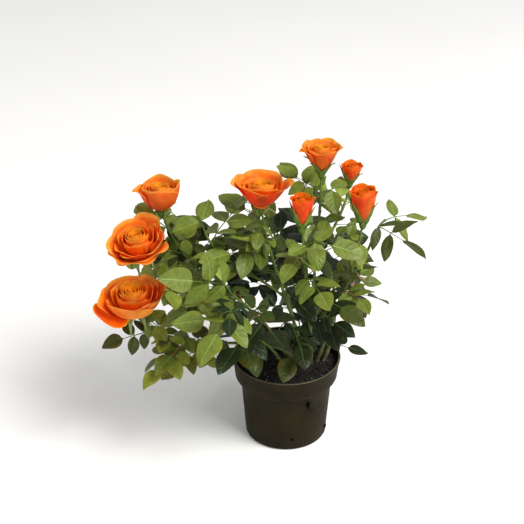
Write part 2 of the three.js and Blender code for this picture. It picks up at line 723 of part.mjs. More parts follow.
// The rose's closed skin: rings of points from under the hip to the heart.
function rosette(rose) {
  const { open, radius, height } = rose;
  const [sides, lobes] = [ROSE_SIDES[open], ROSE_LOBES[open]];
  const [r, h] = [HIP_RADIUS, HIP_HEIGHT];
  const hip = [[0.5 * r, -0.9 * h, 0, 0], [r, -0.4 * h, 0, 0], [0.85 * r, 0, 0, 0]];
  const petals = ROSE_RINGS[open].map(([out, up, lobe, between]) => [out * radius, up * height, lobe, between]);
  const rings = [...hip, ...petals];
  const points = [];
  rings.forEach(([out, up, lobe, between]) => {
    for (let k = 0; k < sides; k++) {
      const turn = 2 * Math.PI * k / sides;
      const dip = lobe * (1 - Math.cos(lobes * turn - between * Math.PI)) / 2;
      const reach = out * (1 - dip);
      points.push(vec(reach * Math.cos(turn), reach * Math.sin(turn), up * (1 - dip)));
    }
  });
  const faces = [];
  for (let i = 0; i + 1 < rings.length; i++) {
    for (let k = 0; k < sides; k++) {
      const a = i * sides + k;
      const b = i * sides + (k + 1) % sides;
      faces.push([a, b, b + sides], [a, b + sides, a + sides]);
    }
  }
  const foot = points.push(vec(0, 0, -h)) - 1;
  const crown = points.push(vec(0, 0, rings.at(-1)[1])) - 1;
  const last = (rings.length - 1) * sides;
  for (let k = 0; k < sides; k++) {
    const next = (k + 1) % sides;
    faces.push([foot, next, k], [crown, last + k, last + next]);
  }
  return geometryOf(points, faces);
}

function sepal(rose, number) {
  const round = radians(360 / SEPALS * number + 20);
  const pitch = radians(SEPAL_PITCH[rose.open]);
  const out = vec(Math.cos(round), Math.sin(round), 0);
  const direction = along(out.clone().multiplyScalar(Math.cos(pitch)), vec(0, 0, 1), Math.sin(pitch));
  const normal = along(out.clone().multiplyScalar(-Math.sin(pitch)), vec(0, 0, 1), Math.cos(pitch));
  const root = vec(0, 0, -0.2 * HIP_HEIGHT).addScaledVector(out, 0.4 * HIP_RADIUS);
  return blade({ root, direction, normal, length: SEPAL_LENGTH }, SEPAL_WIDTH);
}

function buildRose(name) {
  const rose = ROSES[name];
  const base = pointOn(name, 1);
  const axis = unit(vec(...rose.axis));
  const [a, b] = across(axis);
  const stand = new THREE.Matrix4().makeBasis(a, b, axis).setPosition(base);
  const pieces = [rosette(rose)];
  for (let k = 0; k < SEPALS; k++) pieces.push(sepal(rose, k));
  pieces.forEach((piece) => piece.applyMatrix4(stand));
  pieces.push(limbOn(name, leafyEnd(name) + gapOn(name), 1, 6));
  place(`rose_${name}`, bodyOf(skin(joined(pieces))), ROSE_FINISH, base);
}

// ---- The whole bush ----

surveyBush();
buildPot();
buildSoil();
buildLimbs();
masses.forEach(buildMass);
Object.keys(ROSES).forEach(buildRose);

export default bush;
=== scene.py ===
# The dressed rose bush: leaves, twigs, canes, roses, pot and soil round the
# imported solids. Lengths are in millimetres until a piece is made.

import math

import bpy
import numpy as np
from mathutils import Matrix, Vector


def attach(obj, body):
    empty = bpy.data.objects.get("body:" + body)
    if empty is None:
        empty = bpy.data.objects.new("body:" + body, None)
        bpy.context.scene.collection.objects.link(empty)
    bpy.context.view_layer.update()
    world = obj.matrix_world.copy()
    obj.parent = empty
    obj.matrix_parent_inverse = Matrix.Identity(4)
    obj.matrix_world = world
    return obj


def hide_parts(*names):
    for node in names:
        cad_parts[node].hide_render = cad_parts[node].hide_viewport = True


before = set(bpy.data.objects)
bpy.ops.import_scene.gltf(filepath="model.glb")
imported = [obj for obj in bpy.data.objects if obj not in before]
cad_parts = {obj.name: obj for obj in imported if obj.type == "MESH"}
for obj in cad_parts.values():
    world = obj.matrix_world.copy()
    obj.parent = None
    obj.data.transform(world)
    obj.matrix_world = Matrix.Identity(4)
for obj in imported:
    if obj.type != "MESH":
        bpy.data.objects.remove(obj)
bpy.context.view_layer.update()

# ---- The values of the bush, as in its solids ----

POT_HEIGHT = 97
RIM_RADIUS = 60
LIP_HEIGHT = 2.5
LIP_DEPTH = 0.8
COLLAR_RADIUS = 56.5
COLLAR_BOTTOM = 74
SHOULDER_RADIUS = 50.3
SHOULDER_BOTTOM = 69
BASE_RADIUS = 45
BASE_CHAMFER = 1.5
WALL = 1.6
FLOOR = 2.2
HOLES = 6
HOLE_RADIUS = 4.5
HOLE_CIRCLE = 28
SOIL_TOP = 89
SOIL_FLAT_RADIUS = 45
SOIL_SINK = 2.5

FOOT_RADIUS = 2.1
SIDE_RADIUS = 1.6
TIP_RADIUS = 1.2
HANDLE = 0.36
STALK = 18

TURN = 137.5
LIFT_LEAST = 45
LIFT_SPREAD = 20
END_LIFT = 12
PETIOLE = 0.38
PAIR_STEP = 0.46
SIDE_ALONG = 0.42
SIDE_OUT = 0.9
SHINGLE = 0.2
HALF_WIDTH = 0.34
EDGE_RISE = 0.03
TIP_DROOP = 0.08
OUTLINE = [(0, 0), (0.27, 0.82), (0.66, 0.86), (1, 0), (0.66, -0.86), (0.27, -0.82)]
LEAFLET_ROUND = 0.36
LIGHT = np.array([-0.12, -0.62, 0.78])
CROWN = (-10, 10)
OUTWARD = 0.004

SPACE_MARGIN = 1.5
LIMB_CLEAR = 5
AXIS_CLEAR = 3
ROSE_CLEAR = 3
LEAF_CLEAR = 1
RIM_CLEAR = 6
RIM_CLEAR_ABOVE = 4
LOWEST_LEAF = 20
TURNS_TRIED = [0, 30, -30, 60, -60, 90]

# Parts that a shoot is measured in, for its leafy axis and for its limb.
AXIS_PARTS = 8
LIMB_PARTS = 14
# The spray that reaches out at the right: slim leaves, no small ones.
SLIM_SPRAY = "right_spray"

# Shoots: foot in the soil or fork on another shoot, tip, directions at the
# start and the end, bare part, leaves, length of an end leaflet, seed.
# They are the values of the solids. The seeds, most of the sizes, leaf counts
# and bare parts, and half of the tips were found by a search that scored the
# projected leaves against the photo. The rest was placed one by one.
SHOOTS = {
    "left": ((13, -7), (-62, -22, 126), (-0.45, -0.1, 1), (-1, -0.15, 0.05), 1, 0, 0, 0),
    "left_low": (("left", 1), (-162, -42, 179), (-1, -0.1, 0.05), (-0.35, -0.2, 1), 0, 9, 30, 947),
    "left_spray": (("left_low", 0.4), (-108, -38, 134), (-0.4, -1, 0), (-0.6, -1, -0.1), 0.5, 2, 34, 76),
    "left_mid": (("left", 0.72), (-155, -18, 236), (-0.6, 0.1, 0.7), (-0.6, -0.2, 0.8), 0.15, 7, 42, 935),
    "left_high": ((12, 6), (-135, 25, 265), (-0.6, 0.1, 0.7), (-0.25, 0, 1), 0.57, 9, 40, 994),
    "inner_left": ((4, -2), (-58, -78, 221), (-0.4, -0.1, 0.9), (-0.5, -0.3, 0.7), 0.15, 9, 42, 871),
    "center": ((20, 2), (-28, 5, 279), (-0.2, 0, 1), (-0.1, -0.1, 1), 0.3, 8, 42, 704),
    "center_left": (("center", 0.4), (-86, -10, 254), (-0.7, 0.1, 0.7), (-0.4, 0, 1), 0.3, 6, 38, 530),
    "right_high": ((26, 7), (36, 35, 305), (0, 0.1, 1), (0, 0, 1), 0.5, 8, 38, 390),
    "right_back": (("right_high", 0.54), (69, 75, 274), (0.5, 0.5, 0.7), (0.1, 0.2, 1), 0.2, 2, 38, 319),
    "front": ((27, -7), (14, -45, 282), (0, -0.1, 1), (-0.05, -0.1, 1), 0.25, 9, 42, 187),
    "right": ((34, -1), (80, 10, 258), (0.3, 0, 1), (0.1, 0, 1), 0.35, 5, 28, 828),
    "right_spray": (("right", 0.7), (106, 36, 246), (0.9, 0.3, 0.2), (1, 0.8, 0.3), 0.35, 2, 42, 255),
    "right_low": ((41, 0), (56, 36, 180), (0.45, 0.1, 0.9), (0.3, 0.2, 0.9), 0.5, 5, 36, 744),
    "base_right": ((38, 10), (48, 10, 102), (0.8, 0.1, 0.5), (1, 0.1, 0.1), 0.4, 3, 26, 819),
    "base_left": ((2, -16), (-34, -34, 138), (-0.6, -0.4, 0.8), (-0.8, -0.4, 0.4), 0.6, 2, 42, 847),
    "base_front": ((22, -14), (0, -40, 162), (-0.2, -0.4, 0.8), (-0.4, -0.6, 0.4), 0.6, 5, 32, 985),
    "back": ((16, 16), (-14, 77, 211), (-0.2, 0.4, 0.9), (-0.2, 0.4, 0.9), 0.55, 5, 42, 938),
    "back_right": ((30, 18), (22, 96, 175), (0.2, 0.5, 0.8), (0.2, 0.5, 0.8), 0.2, 9, 42, 113),
    "back_left": ((2, 12), (-95, 70, 175), (-0.6, 0.4, 0.8), (-0.7, 0.3, 0.7), 0.45, 8, 42, 872),
}
# A shoot is of its own mass, but for these and for a cane that bears none.
OTHER_MASS = {
    "left": None, "left_spray": "left_low", "center_left": "center",
    "right_back": "right_high", "right_spray": "right",
}
SHOOTS = {name: (OTHER_MASS.get(name, name), *shoot) for name, shoot in SHOOTS.items()}
MASS, FOOT, TIP, FROM, TO, BARE, LEAVES, SIZE, SEED = range(9)

# Roses: how open, radius, height, axis.
ROSES = {
    "left_low": ("wide", 35, 28, (-0.2, -0.45, 0.87)),
    "left_mid": ("wide", 30, 28, (-0.3, -0.4, 0.87)),
    "left_high": ("half", 25, 33, (-0.05, 0, 1)),
    "center": ("half", 32, 34, (0, 0, 1)),
    "right_high": ("half", 22, 31, (0, 0, 1)),
    "right_back": ("bud", 12, 22, (0.2, 0.1, 1)),
    "front": ("bud", 13, 37, (0, 0, 1)),
    "right": ("bud", 15, 41, (-0.03, 0, 1)),
}
HIP_RADIUS = 4.2
HIP_HEIGHT = 9

# ---- Small helpers ----


def unit(v):
    v = np.asarray(v, float)
    return v / math.sqrt(v @ v)


def seeded(seed):
    """Numbers in 0..1, the same ones every time for one seed."""
    mask = 0xFFFFFFFF
    state = (seed * 2654435761) & mask

    def draw():
        nonlocal state
        state = (state + 0x6D2B79F5) & mask
        t = ((state ^ (state >> 15)) * (state | 1)) & mask
        t ^= (t + (((t ^ (t >> 7)) * (t | 61)) & mask)) & mask
        return ((t ^ (t >> 14)) & mask) / 4294967296

    return draw


def across(d):
    """Two directions square to d and to each other."""
    a = unit(np.cross((0, 1, 0), d))
    return a, np.cross(d, a)


# ---- Shoots ----

curves = {}


def forks(name):
    """True for a shoot that leaves another one, false for one from the soil."""
    return isinstance(SHOOTS[name][FOOT][0], str)


def curve_of(name):
    """The four points of the shoot's Bezier curve, and its length from end to end."""
    if name not in curves:
        shoot = SHOOTS[name]
        foot = shoot[FOOT]
        start = point_on(*foot) if forks(name) else np.array([*foot, SOIL_TOP], float)
        tip = np.array(shoot[TIP], float)
        length = math.dist(start, tip)
        reach = HANDLE * length
        leave, arrive = unit(shoot[FROM]) * reach, unit(shoot[TO]) * reach
        curves[name] = (start, start + leave, tip - arrive, tip, length)
    return curves[name]


def point_on(name, t):
    a, b, c, d, _ = curve_of(name)
    return a * (1 - t) ** 3 + 3 * b * t * (1 - t) ** 2 + 3 * c * t * t * (1 - t) + d * t**3


def direction_on(name, t):
    a, b, c, d, _ = curve_of(name)
    return unit((b - a) * (1 - t) ** 2 + 2 * (c - b) * t * (1 - t) + (d - c) * t * t)


def radius_on(name, t):
    foot = SIDE_RADIUS if forks(name) else FOOT_RADIUS
    tip = TIP_RADIUS if SHOOTS[name][MASS] else SIDE_RADIUS
    return foot + (tip - foot) * t


def leafy_start(name):
    """Where the mass's stem begins: the canes show the bare part of its first shoot."""
    mass = SHOOTS[name][MASS]
    first = next(other for other in SHOOTS if SHOOTS[other][MASS] == mass)
    return SHOOTS[name][BARE] if name == first else 0


def leafy_end(name):
    return 1 - STALK / curve_of(name)[4] if name in ROSES else 1


# ---- The space of each mass ----

masses = list(dict.fromkeys(shoot[MASS] for shoot in SHOOTS.values() if shoot[MASS]))
axis_points = []
axis_owner = []
limb_from = []
limb_to = []
limb_name = []
limb_bare = []
rose_spaces = []
for name, shoot in SHOOTS.items():
    for k in range(AXIS_PARTS + 1 if shoot[MASS] else 0):
        axis_points.append(point_on(name, shoot[BARE] + (1 - shoot[BARE]) * k / AXIS_PARTS))
        axis_owner.append(shoot[MASS])
    for k in range(LIMB_PARTS):
        limb_from.append(point_on(name, k / LIMB_PARTS))
        limb_to.append(point_on(name, (k + 1) / LIMB_PARTS))
        limb_name.append(name)
        limb_bare.append((k + 1) / LIMB_PARTS <= shoot[BARE])
axis_points, axis_owner = np.array(axis_points), np.array(axis_owner)
limb_from, limb_to = np.array(limb_from), np.array(limb_to)
limb_name, limb_bare = np.array(limb_name), np.array(limb_bare)
for name, (_, radius, height, axis) in ROSES.items():
    middle = point_on(name, 1) + unit(axis) * 0.55 * height
    rose_spaces.append((middle, unit(axis), radius + ROSE_CLEAR, height / 2 + ROSE_CLEAR + 1))


def fits(points, name, clear):
    """True where every point lies in the mass's own space and touches nothing."""
    away = np.linalg.norm(points[:, None] - axis_points[None], axis=-1)
    own = axis_owner == SHOOTS[name][MASS]
    if (away[:, ~own].min(1) - away[:, own].min(1)).min() < SPACE_MARGIN:
        return False
    kept = (limb_name != name) | limb_bare
    start, span = limb_from[kept], (limb_to - limb_from)[kept]
    t = ((points[:, None] - start[None]) * span[None]).sum(-1) / (span * span).sum(-1)
    nearest = start[None] + span[None] * np.clip(t, 0, 1)[..., None]
    if np.linalg.norm(points[:, None] - nearest, axis=-1).min() < clear:
        return False
    for middle, axis, radius, half in rose_spaces:
        v = points - middle
        up = v @ axis
        out = (v * v).sum(1) - up * up
        if (out / (radius * radius) + up * up / (half * half)).min() < 1:
            return False
    near = np.hypot(points[:, 0], points[:, 1]) < RIM_RADIUS + RIM_CLEAR
    if (near & (points[:, 2] < POT_HEIGHT + RIM_CLEAR_ABOVE)).any():
        return False
    return points[:, 2].min() >= LOWEST_LEAF


# ---- Leaves: where each one grows ----


def leaf_at(p, direction, size, pairs, lift, bend, roll, jitter, turn):
    """The points of a compound leaf's axis, and its leaflets.

    A leaflet is its joint's number, its hand, root, direction, normal and length.
    """
    a, b = across(direction)
    round_ = math.radians(turn)
    spread = a * math.cos(round_) + b * math.sin(round_)
    rise = unit(direction * math.cos(lift) + spread * math.sin(lift))
    run = unit((rise[0], rise[1], rise[2] * 0.45 - bend))
    joint = p + rise * size * PETIOLE
    face = LIGHT + jitter + np.array([joint[0] - CROWN[0], joint[1] - CROWN[1], 0]) * OUTWARD
    flat = unit(face - run * (face @ run))
    normal = unit(flat * math.cos(roll) + np.cross(flat, run) * math.sin(roll))
    side = np.cross(normal, run)
    axis, leaflets = [p, joint], []
    for k in range(pairs):
        length = size * (0.84 - 0.12 * (pairs - 1 - k))
        for hand in (1, -1):
            aim = unit(run * SIDE_ALONG + side * (hand * SIDE_OUT) - normal * 0.1)
            up = normal - run * SHINGLE
            leaflets.append((k + 1, hand, joint, aim, unit(up - aim * (up @ aim)), length))
        joint = joint + run * size * PAIR_STEP
        axis.append(joint)
    leaflets.append((pairs + 1, 0, joint, run, normal, size))
    return axis, leaflets


def corners_of(leaflet):
    _, _, root, direction, normal, length = leaflet
    side = np.cross(normal, direction)
    return np.array([
        root + direction * u * length + side * v * HALF_WIDTH * length
        + normal * (abs(v) * EDGE_RISE - TIP_DROOP * u * u) * length
        for u, v in OUTLINE
    ])


def edges_of(leaflet):
    corners = corners_of(leaflet)
    return corners, np.roll(corners, -1, 0)


def crossed(leaflet, starts, ends):
    """True where one of the segments passes through a leaflet or close by it."""
    if len(starts) == 0:
        return False
    _, _, root, direction, normal, length = leaflet
    middle = root + direction * 0.5 * length - normal * 0.02 * length
    side = np.cross(normal, direction)
    a, b = np.asarray(starts) - middle, np.asarray(ends) - middle
    above, below = a @ normal, b @ normal
    drop = np.where(np.abs(above - below) < 1e-9, 1e-9, above - below)
    t = np.clip(above / drop, 0, 1)
    m = a * (1 - t)[:, None] + b * t[:, None]
    u = m @ direction / (0.5 * length)
    v = m @ side / (LEAFLET_ROUND * length)
    return bool(((np.abs(above * (1 - t) + below * t) < LEAF_CLEAR) & (u * u + v * v < 1)).any())


def best_leaf(name, p, direction, leaf, grown):
    """The leaf turned so that most of its leaflets have room."""
    best = ([], [])
    starts, ends, leaflets = grown
    for extra in TURNS_TRIED:
        axis, tried = leaf_at(p, direction, **{**leaf, "turn": leaf["turn"] + extra})
        reach = 0
        while reach + 1 < len(axis) and fits(np.array([axis[reach + 1]]), name, AXIS_CLEAR):
            if any(crossed(other, [axis[reach]], [axis[reach + 1]]) for other in leaflets):
                break
            reach += 1
        kept = []
        for leaflet in tried:
            if leaflet[0] > reach or not fits(corners_of(leaflet)[1:], name, LIMB_CLEAR):
                continue
            if crossed(leaflet, starts, ends):
                continue
            if any(crossed(other, *edges_of(leaflet)) for other in leaflets):
                continue
            kept.append(leaflet)
        if len(kept) > len(best[1]):
            best = (axis, kept)
        if len(kept) == len(tried):
            break
    axis, kept = best
    axis = axis[: max((leaflet[0] for leaflet in kept), default=0) + 1]
    for k in range(len(axis) - 1):
        starts.append(axis[k])
        ends.append(axis[k + 1])
    for leaflet in kept:
        edge = edges_of(leaflet)
        starts.extend(edge[0])
        ends.extend(edge[1])
        leaflets.append(leaflet)
    return axis, kept


def placed(name, t, leaf, grown, leaves):
    """Add the leaf to the shoot's leaves, if it has room."""
    axis, kept = best_leaf(name, point_on(name, t), direction_on(name, t), leaf, grown)
    if kept:
        leaves.append((t, axis, kept))


def chance_of_leaf(draw, rolling, wobble):
    """The bend, roll and jitter that chance gives a leaf."""
    return dict(
        bend=0.05 + 0.4 * draw(),
        roll=(draw() - 0.5) * rolling,
        jitter=np.array([draw() - 0.5, draw() - 0.5, draw() - 0.5]) * wobble,
    )


def leaves_of(name, grown):
    shoot = SHOOTS[name]
    flowering = name in ROSES
    count, bare = shoot[LEAVES], shoot[BARE]
    draw = seeded(shoot[SEED])
    phase = 360 * draw()
    leaves = []
    for i in range(count):
        place = (i + 0.5) / count if flowering else (i + 1) / count
        t = bare + (leafy_end(name) - bare) * place
        size = shoot[SIZE] * (0.85 + 0.25 * draw()) * (1 - 0.2 * i / count if flowering else 1)
        small = draw() < 0.3 or (flowering and i == count - 1)
        aside = flowering or i < count - 1
        lift = math.radians(LIFT_LEAST + LIFT_SPREAD * draw() if aside else END_LIFT)
        leaf = dict(size=size, pairs=1 if small else 2, lift=lift, **chance_of_leaf(draw, 0.8, 0.7))
        leaf["turn"] = phase + i * TURN + (draw() - 0.5) * 30
        placed(name, t, leaf, grown, leaves)
    return leaves


# Finer growth between the leaves: small leaves on thin twigs, where there is room.
FINER_SIZE = 0.62
FINER_STEP = 16
FINER_SEED = 5000


def finer_leaves_of(name, grown):
    shoot = SHOOTS[name]
    draw = seeded(shoot[SEED] + FINER_SEED)
    length = curve_of(name)[4]
    end = leafy_end(name)
    count = max(1, round((end - shoot[BARE]) * length / FINER_STEP))
    phase = 360 * draw()
    leaves = []
    for i in range(count):
        t = shoot[BARE] + (end - shoot[BARE]) * (i + 0.25 + 0.5 * draw()) / count
        leaf = dict(
            size=shoot[SIZE] * FINER_SIZE * (0.8 + 0.4 * draw()),
            pairs=1 if draw() < 0.6 else 2,
            lift=math.radians(35 + 45 * draw()),
            **chance_of_leaf(draw, 0.9, 0.9),
        )
        leaf["turn"] = phase + i * TURN + (draw() - 0.5) * 40
        placed(name, t, leaf, grown, leaves)
    return leaves


def grow(mass):
    """The leaves of a mass and its finer ones, each by shoot."""
    shoots = [name for name in SHOOTS if SHOOTS[name][MASS] == mass]
    grown = ([], [], [])
    for name in shoots:
        start, span = leafy_start(name), leafy_end(name) - leafy_start(name)
        points = [point_on(name, start + span * k / AXIS_PARTS) for k in range(AXIS_PARTS + 1)]
        grown[0].extend(points[:-1])
        grown[1].extend(points[1:])
    leaves = {name: leaves_of(name, grown) for name in shoots}
    finer = {name: [] if name == SLIM_SPRAY else finer_leaves_of(name, grown) for name in shoots}
    return leaves, finer


# ---- Meshes ----


MILLIMETRE = 0.001
# Stands for the missing fourth corner of a triangle, and stays below 0 when
# the faces are counted on.
NO_CORNER = -(10**9)


def four_wide(faces):
    """Faces as rows of four corners."""
    faces = np.asarray(faces, int)
    if faces.shape[1] == 3:
        faces = np.hstack([faces, np.full((len(faces), 1), NO_CORNER)])
    return faces


class Gathered:
    """Points and faces of many small forms, made into one mesh at the end."""

    def __init__(self):
        self.points, self.faces, self.marks, self.total = [], [], [], 0

    def add(self, points, faces, marks):
        points = np.asarray(points, float).reshape(-1, 3)
        faces = four_wide(faces)
        self.points.append(points)
        self.faces.append(faces + self.total)
        self.marks.append(np.broadcast_to(np.asarray(marks, int), len(faces)))
        self.total += len(points)

    def mesh(self, name):
        mesh = bpy.data.meshes.new(name)
        faces = [f if f[3] >= 0 else f[:3] for f in np.concatenate(self.faces).tolist()]
        mesh.from_pydata((np.concatenate(self.points) * MILLIMETRE).tolist(), [], faces)
        return mesh

    def make(self, name, materials, slot, replaced):
        """The piece, in place of the named nodes."""
        mesh = self.mesh(name)
        for material in materials:
            mesh.materials.append(material)
        mesh.polygons.foreach_set("material_index", np.concatenate(self.marks).astype(np.int32))
        mesh.polygons.foreach_set("use_smooth", np.ones(len(mesh.polygons), bool))
        mesh.update()
        piece = bpy.data.objects.new(name, mesh)
        bpy.context.scene.collection.objects.link(piece)
        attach(piece, "root")
        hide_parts(*replaced)
        return piece


def grid_faces(rows, columns, start=0, turned=False, closed=False):
    """Quads over a grid of points that runs row by row, always with the same diagonal."""
    steps = columns if closed else columns - 1
    i, j = np.meshgrid(np.arange(rows - 1), np.arange(steps), indexing="ij")
    a = i * columns + j
    b = i * columns + (j + 1) % columns
    quads = np.stack([a, a + columns, b + columns, b], -1).reshape(-1, 4) + start
    return np.roll(quads[:, ::-1], -1, 1) if turned else quads


def two_sheets(rows, columns):
    """Faces of a thin leaf of two grids, the second one being its back."""
    back = grid_faces(rows, columns, start=rows * columns, turned=True)
    return np.vstack([grid_faces(rows, columns), back])


def ring_of(count):
    """Evenly spaced angles round a circle."""
    return np.linspace(0, 2 * np.pi, count, endpoint=False)


def tube(gathered, path, radii, sides, mark):
    """A round stem along a path; radii has a row for each point."""
    path = np.asarray(path, float)
    runs = np.gradient(path, axis=0)
    runs /= np.linalg.norm(runs, axis=1)[:, None]
    a = across(runs[0])[0] if abs(runs[0][1]) < 0.95 else unit(np.cross((1, 0, 0), runs[0]))
    turns = 2 * np.pi * np.arange(sides) / sides
    radii = np.broadcast_to(np.asarray(radii, float).reshape(len(path), -1), (len(path), sides))
    rings = []
    for p, run, radius in zip(path, runs, radii):
        a = unit(a - run * (a @ run))
        b = np.cross(run, a)
        around = a * np.cos(turns)[:, None] + b * np.sin(turns)[:, None]
        rings.append(p + around * radius[:, None])
    faces = grid_faces(len(path), sides, closed=True, turned=True)
    gathered.add(np.concatenate(rings), faces, mark)


def rounded(points):
    """A path with its corners cut twice."""
    points = np.asarray(points, float)
    for _ in range(2):
        near = points[:-1] * 0.75 + points[1:] * 0.25
        far = points[:-1] * 0.25 + points[1:] * 0.75
        points = np.vstack([points[:1], np.stack([near, far], 1).reshape(-1, 3), points[-1:]])
    return points


# ---- Materials ----

BUMP_DEPTH = 0.0005
# Where the two tints of a surface are reached in its noise, and the noise's detail.
TINT_FROM, TINT_TO = 0.3, 0.7
BLOTCH_DETAIL, GRAIN_DETAIL = 4, 5


def linear(c):
    """A colour value of 0..255, as screens show it, made linear."""
    return c / 255 / 12.92 if c <= 10 else ((c / 255 + 0.055) / 1.055) ** 2.4


def finish(name, low, high, scale=60, rough=(0.4, 0.55), bump=0.2, bump_scale=400, **shader):
    """A surface whose colour wanders between two tints, with its own grain."""
    material = bpy.data.materials.new(name)
    material.use_nodes = True
    nodes, links = material.node_tree.nodes, material.node_tree.links
    surface = nodes["Principled BSDF"]
    place = nodes.new("ShaderNodeTexCoord").outputs["Object"]

    def node(kind, source, socket, **values):
        made = nodes.new("ShaderNode" + kind)
        for key, value in values.items():
            made.inputs[key.replace("_", " ")].default_value = value
        links.new(source, made.inputs[socket])
        return made

    blotches = node("TexNoise", place, "Vector", Scale=scale, Detail=BLOTCH_DETAIL)
    tint = node("ValToRGB", blotches.outputs["Fac"], "Fac")
    first, second = tint.color_ramp.elements
    first.position, second.position = TINT_FROM, TINT_TO
    first.color = (*map(linear, low), 1)
    second.color = (*map(linear, high), 1)
    links.new(tint.outputs["Color"], surface.inputs["Base Color"])
    grain = node("TexNoise", place, "Vector", Scale=bump_scale, Detail=GRAIN_DETAIL)
    gloss = node("MapRange", grain.outputs["Fac"], "Value", To_Min=rough[0], To_Max=rough[1])
    links.new(gloss.outputs["Result"], surface.inputs["Roughness"])
    relief = node("Bump", grain.outputs["Fac"], "Height", Strength=bump, Distance=BUMP_DEPTH)
    links.new(relief.outputs["Normal"], surface.inputs["Normal"])
    for socket, value in shader.items():
        surface.inputs[socket.replace("_", " ")].default_value = value
    return material


# Leaf tints from dark to light, dealt out by tint_of. The two darkest are painted shade and the two
# lightest painted light, on top of each leaf's own chance tone. The young tint is the colour of young
# leaves.
LEAF_TINTS = {
    "deep_shade": ((12, 25, 3), (24, 39, 8)),
    "blue_shade": ((18, 34, 14), (30, 48, 22)),
    "mid": ((40, 54, 10), (59, 74, 19)),
    "light": ((80, 97, 27), (103, 119, 45)),
    "fresh_lit": ((108, 126, 36), (134, 151, 58)),
    "young": ((124, 94, 66), (164, 128, 104)),
}
DEEP_SHADE, BLUE_SHADE, MIDDLE, PALE_LIT, FRESH_LIT, YOUNG = range(6)
leaf_skin = dict(
    scale=110, rough=(0.32, 0.5), bump=0.3,
    Subsurface_Weight=0.12, Subsurface_Scale=0.002, Specular_IOR_Level=0.26,
)
leaf_tops = [finish(f"leaf_{name}", *tints, **leaf_skin) for name, tints in LEAF_TINTS.items()]
leaf_ribs = [
    finish("leaf_vein", (82, 105, 29), (105, 126, 44), rough=(0.45, 0.6)),
    finish("leaf_rib_dim", (44, 62, 17), (60, 80, 26), rough=(0.45, 0.6)),
    finish("leaf_rib", (102, 124, 42), (126, 148, 60), rough=(0.45, 0.6)),
]
# Undersides: the dim one goes with the darker tints and is painted shade.
leaf_backs = [
    finish("leaf_back", (96, 114, 64), (116, 132, 82), scale=90, rough=(0.6, 0.75)),
    finish("leaf_back_dim", (62, 80, 42), (80, 98, 54), scale=90, rough=(0.6, 0.75)),
]
leaf_materials = leaf_tops + leaf_ribs + leaf_backs
VEIN, RIB_DIM, RIB_BRIGHT, BACK_BRIGHT, BACK_DIM = range(6, 11)
# The midrib and the side veins that go with each leaf tint. Darker ones go with the darker tints
# and lighter ones with the lighter tints, so they carry the same painted shade and light.
RIB_OF = (RIB_DIM, RIB_DIM, RIB_DIM, RIB_BRIGHT, RIB_BRIGHT, RIB_BRIGHT)
VEIN_OF = (BLUE_SHADE, BLUE_SHADE, RIB_DIM, VEIN, RIB_BRIGHT, RIB_BRIGHT)
twig_materials = [
    finish("twig_green", (62, 86, 22), (88, 110, 36), rough=(0.45, 0.6), Specular_IOR_Level=0.3),
    finish("twig_red", (112, 84, 48), (134, 104, 62), rough=(0.4, 0.55)),
    finish("thorn", (112, 84, 50), (140, 108, 70), rough=(0.45, 0.6)),
]
GREEN, RED_TWIG, THORN = range(3)
bark = dict(scale=120, bump_scale=700)
cane_materials = [
    finish("cane_green", (52, 70, 22), (78, 94, 34), rough=(0.45, 0.65), bump=0.4, **bark),
    finish("cane_old", (70, 66, 38), (98, 92, 56), rough=(0.6, 0.8), bump=0.6, **bark),
    twig_materials[THORN],
]
OLD = 1
PETAL_TINTS = {
    "petal_heart": ((242, 122, 8), (252, 158, 32)),
    "petal_inner": ((236, 87, 5), (248, 115, 16)),
    "petal_rim": ((236, 104, 24), (248, 136, 48)),
    "petal_outer": ((222, 74, 12), (238, 98, 27)),
    "petal_blush": ((204, 46, 10), (222, 70, 24)),
    "petal_red": ((216, 48, 4), (233, 78, 13)),
}
HEART, INNER, RIM, OUTER, BLUSH, RED = range(6)
petal_skin = dict(
    scale=110, rough=(0.55, 0.7), bump=0.15, bump_scale=900, Subsurface_Weight=0.5,
    Subsurface_Scale=0.005, Subsurface_Radius=(1, 0.3, 0.12), Specular_IOR_Level=0.2,
)
petal_materials = [finish(name, *tints, **petal_skin) for name, tints in PETAL_TINTS.items()]
soft, waxy = dict(scale=150, Specular_IOR_Level=0.25), dict(scale=150, Specular_IOR_Level=0.3)
green_materials = [
    finish("sepal", (78, 102, 30), (106, 128, 50), rough=(0.5, 0.65), **soft),
    finish("sepal_inside", (112, 130, 66), (134, 150, 88), scale=150, rough=(0.6, 0.7)),
    finish("hip", (60, 86, 18), (82, 108, 30), rough=(0.4, 0.55), **waxy),
    twig_materials[GREEN],
]
SEPAL, SEPAL_INSIDE, HIP, STALK_GREEN = range(4)

# ---- Leaflets ----

TEETH = 12
TOOTH = 0.012
BLADE_ROWS = 2 * TEETH + 1
BLADE_COLUMNS = np.array([-1, -0.7, -0.35, 0, 0, 0.35, 0.7, 1])
BLADE_WIDTH = len(BLADE_COLUMNS)
RIB_SIDE = np.array([0, 0, 0, -1, 1, 0, 0, 0])
BLADE_FOOT = 0.05
BLADE_FACES = two_sheets(BLADE_ROWS, BLADE_WIDTH)
BLADE_RIB = np.tile(np.arange(BLADE_WIDTH - 1) == BLADE_WIDTH // 2 - 1, BLADE_ROWS - 1)
# How far up its tooth a tip lies, and how far the veins slant forward.
TOOTH_CREST = 0.8
TOOTH_LEAN = 0.01
VEIN_SLANT = 0.9
# Thickness in millimetres at the midrib, at the margin and between them.
RIB_THICK, EDGE_THICK, LEAF_THICK = 0.7, 0.05, 0.3
VEIN_ROWS = (np.arange(BLADE_ROWS - 1) % 4 == 3)[:, None]
BLADE_VEIN = (VEIN_ROWS & np.array([0, 1, 1, 0, 1, 1, 0], bool)[None]).reshape(-1)


def half_width(u):
    """A leaflet's outline from foot to tip, 1 where it is widest."""
    u = np.clip(u, 0, 1)
    return u**0.72 * (1 - u) ** 0.95 / 0.321


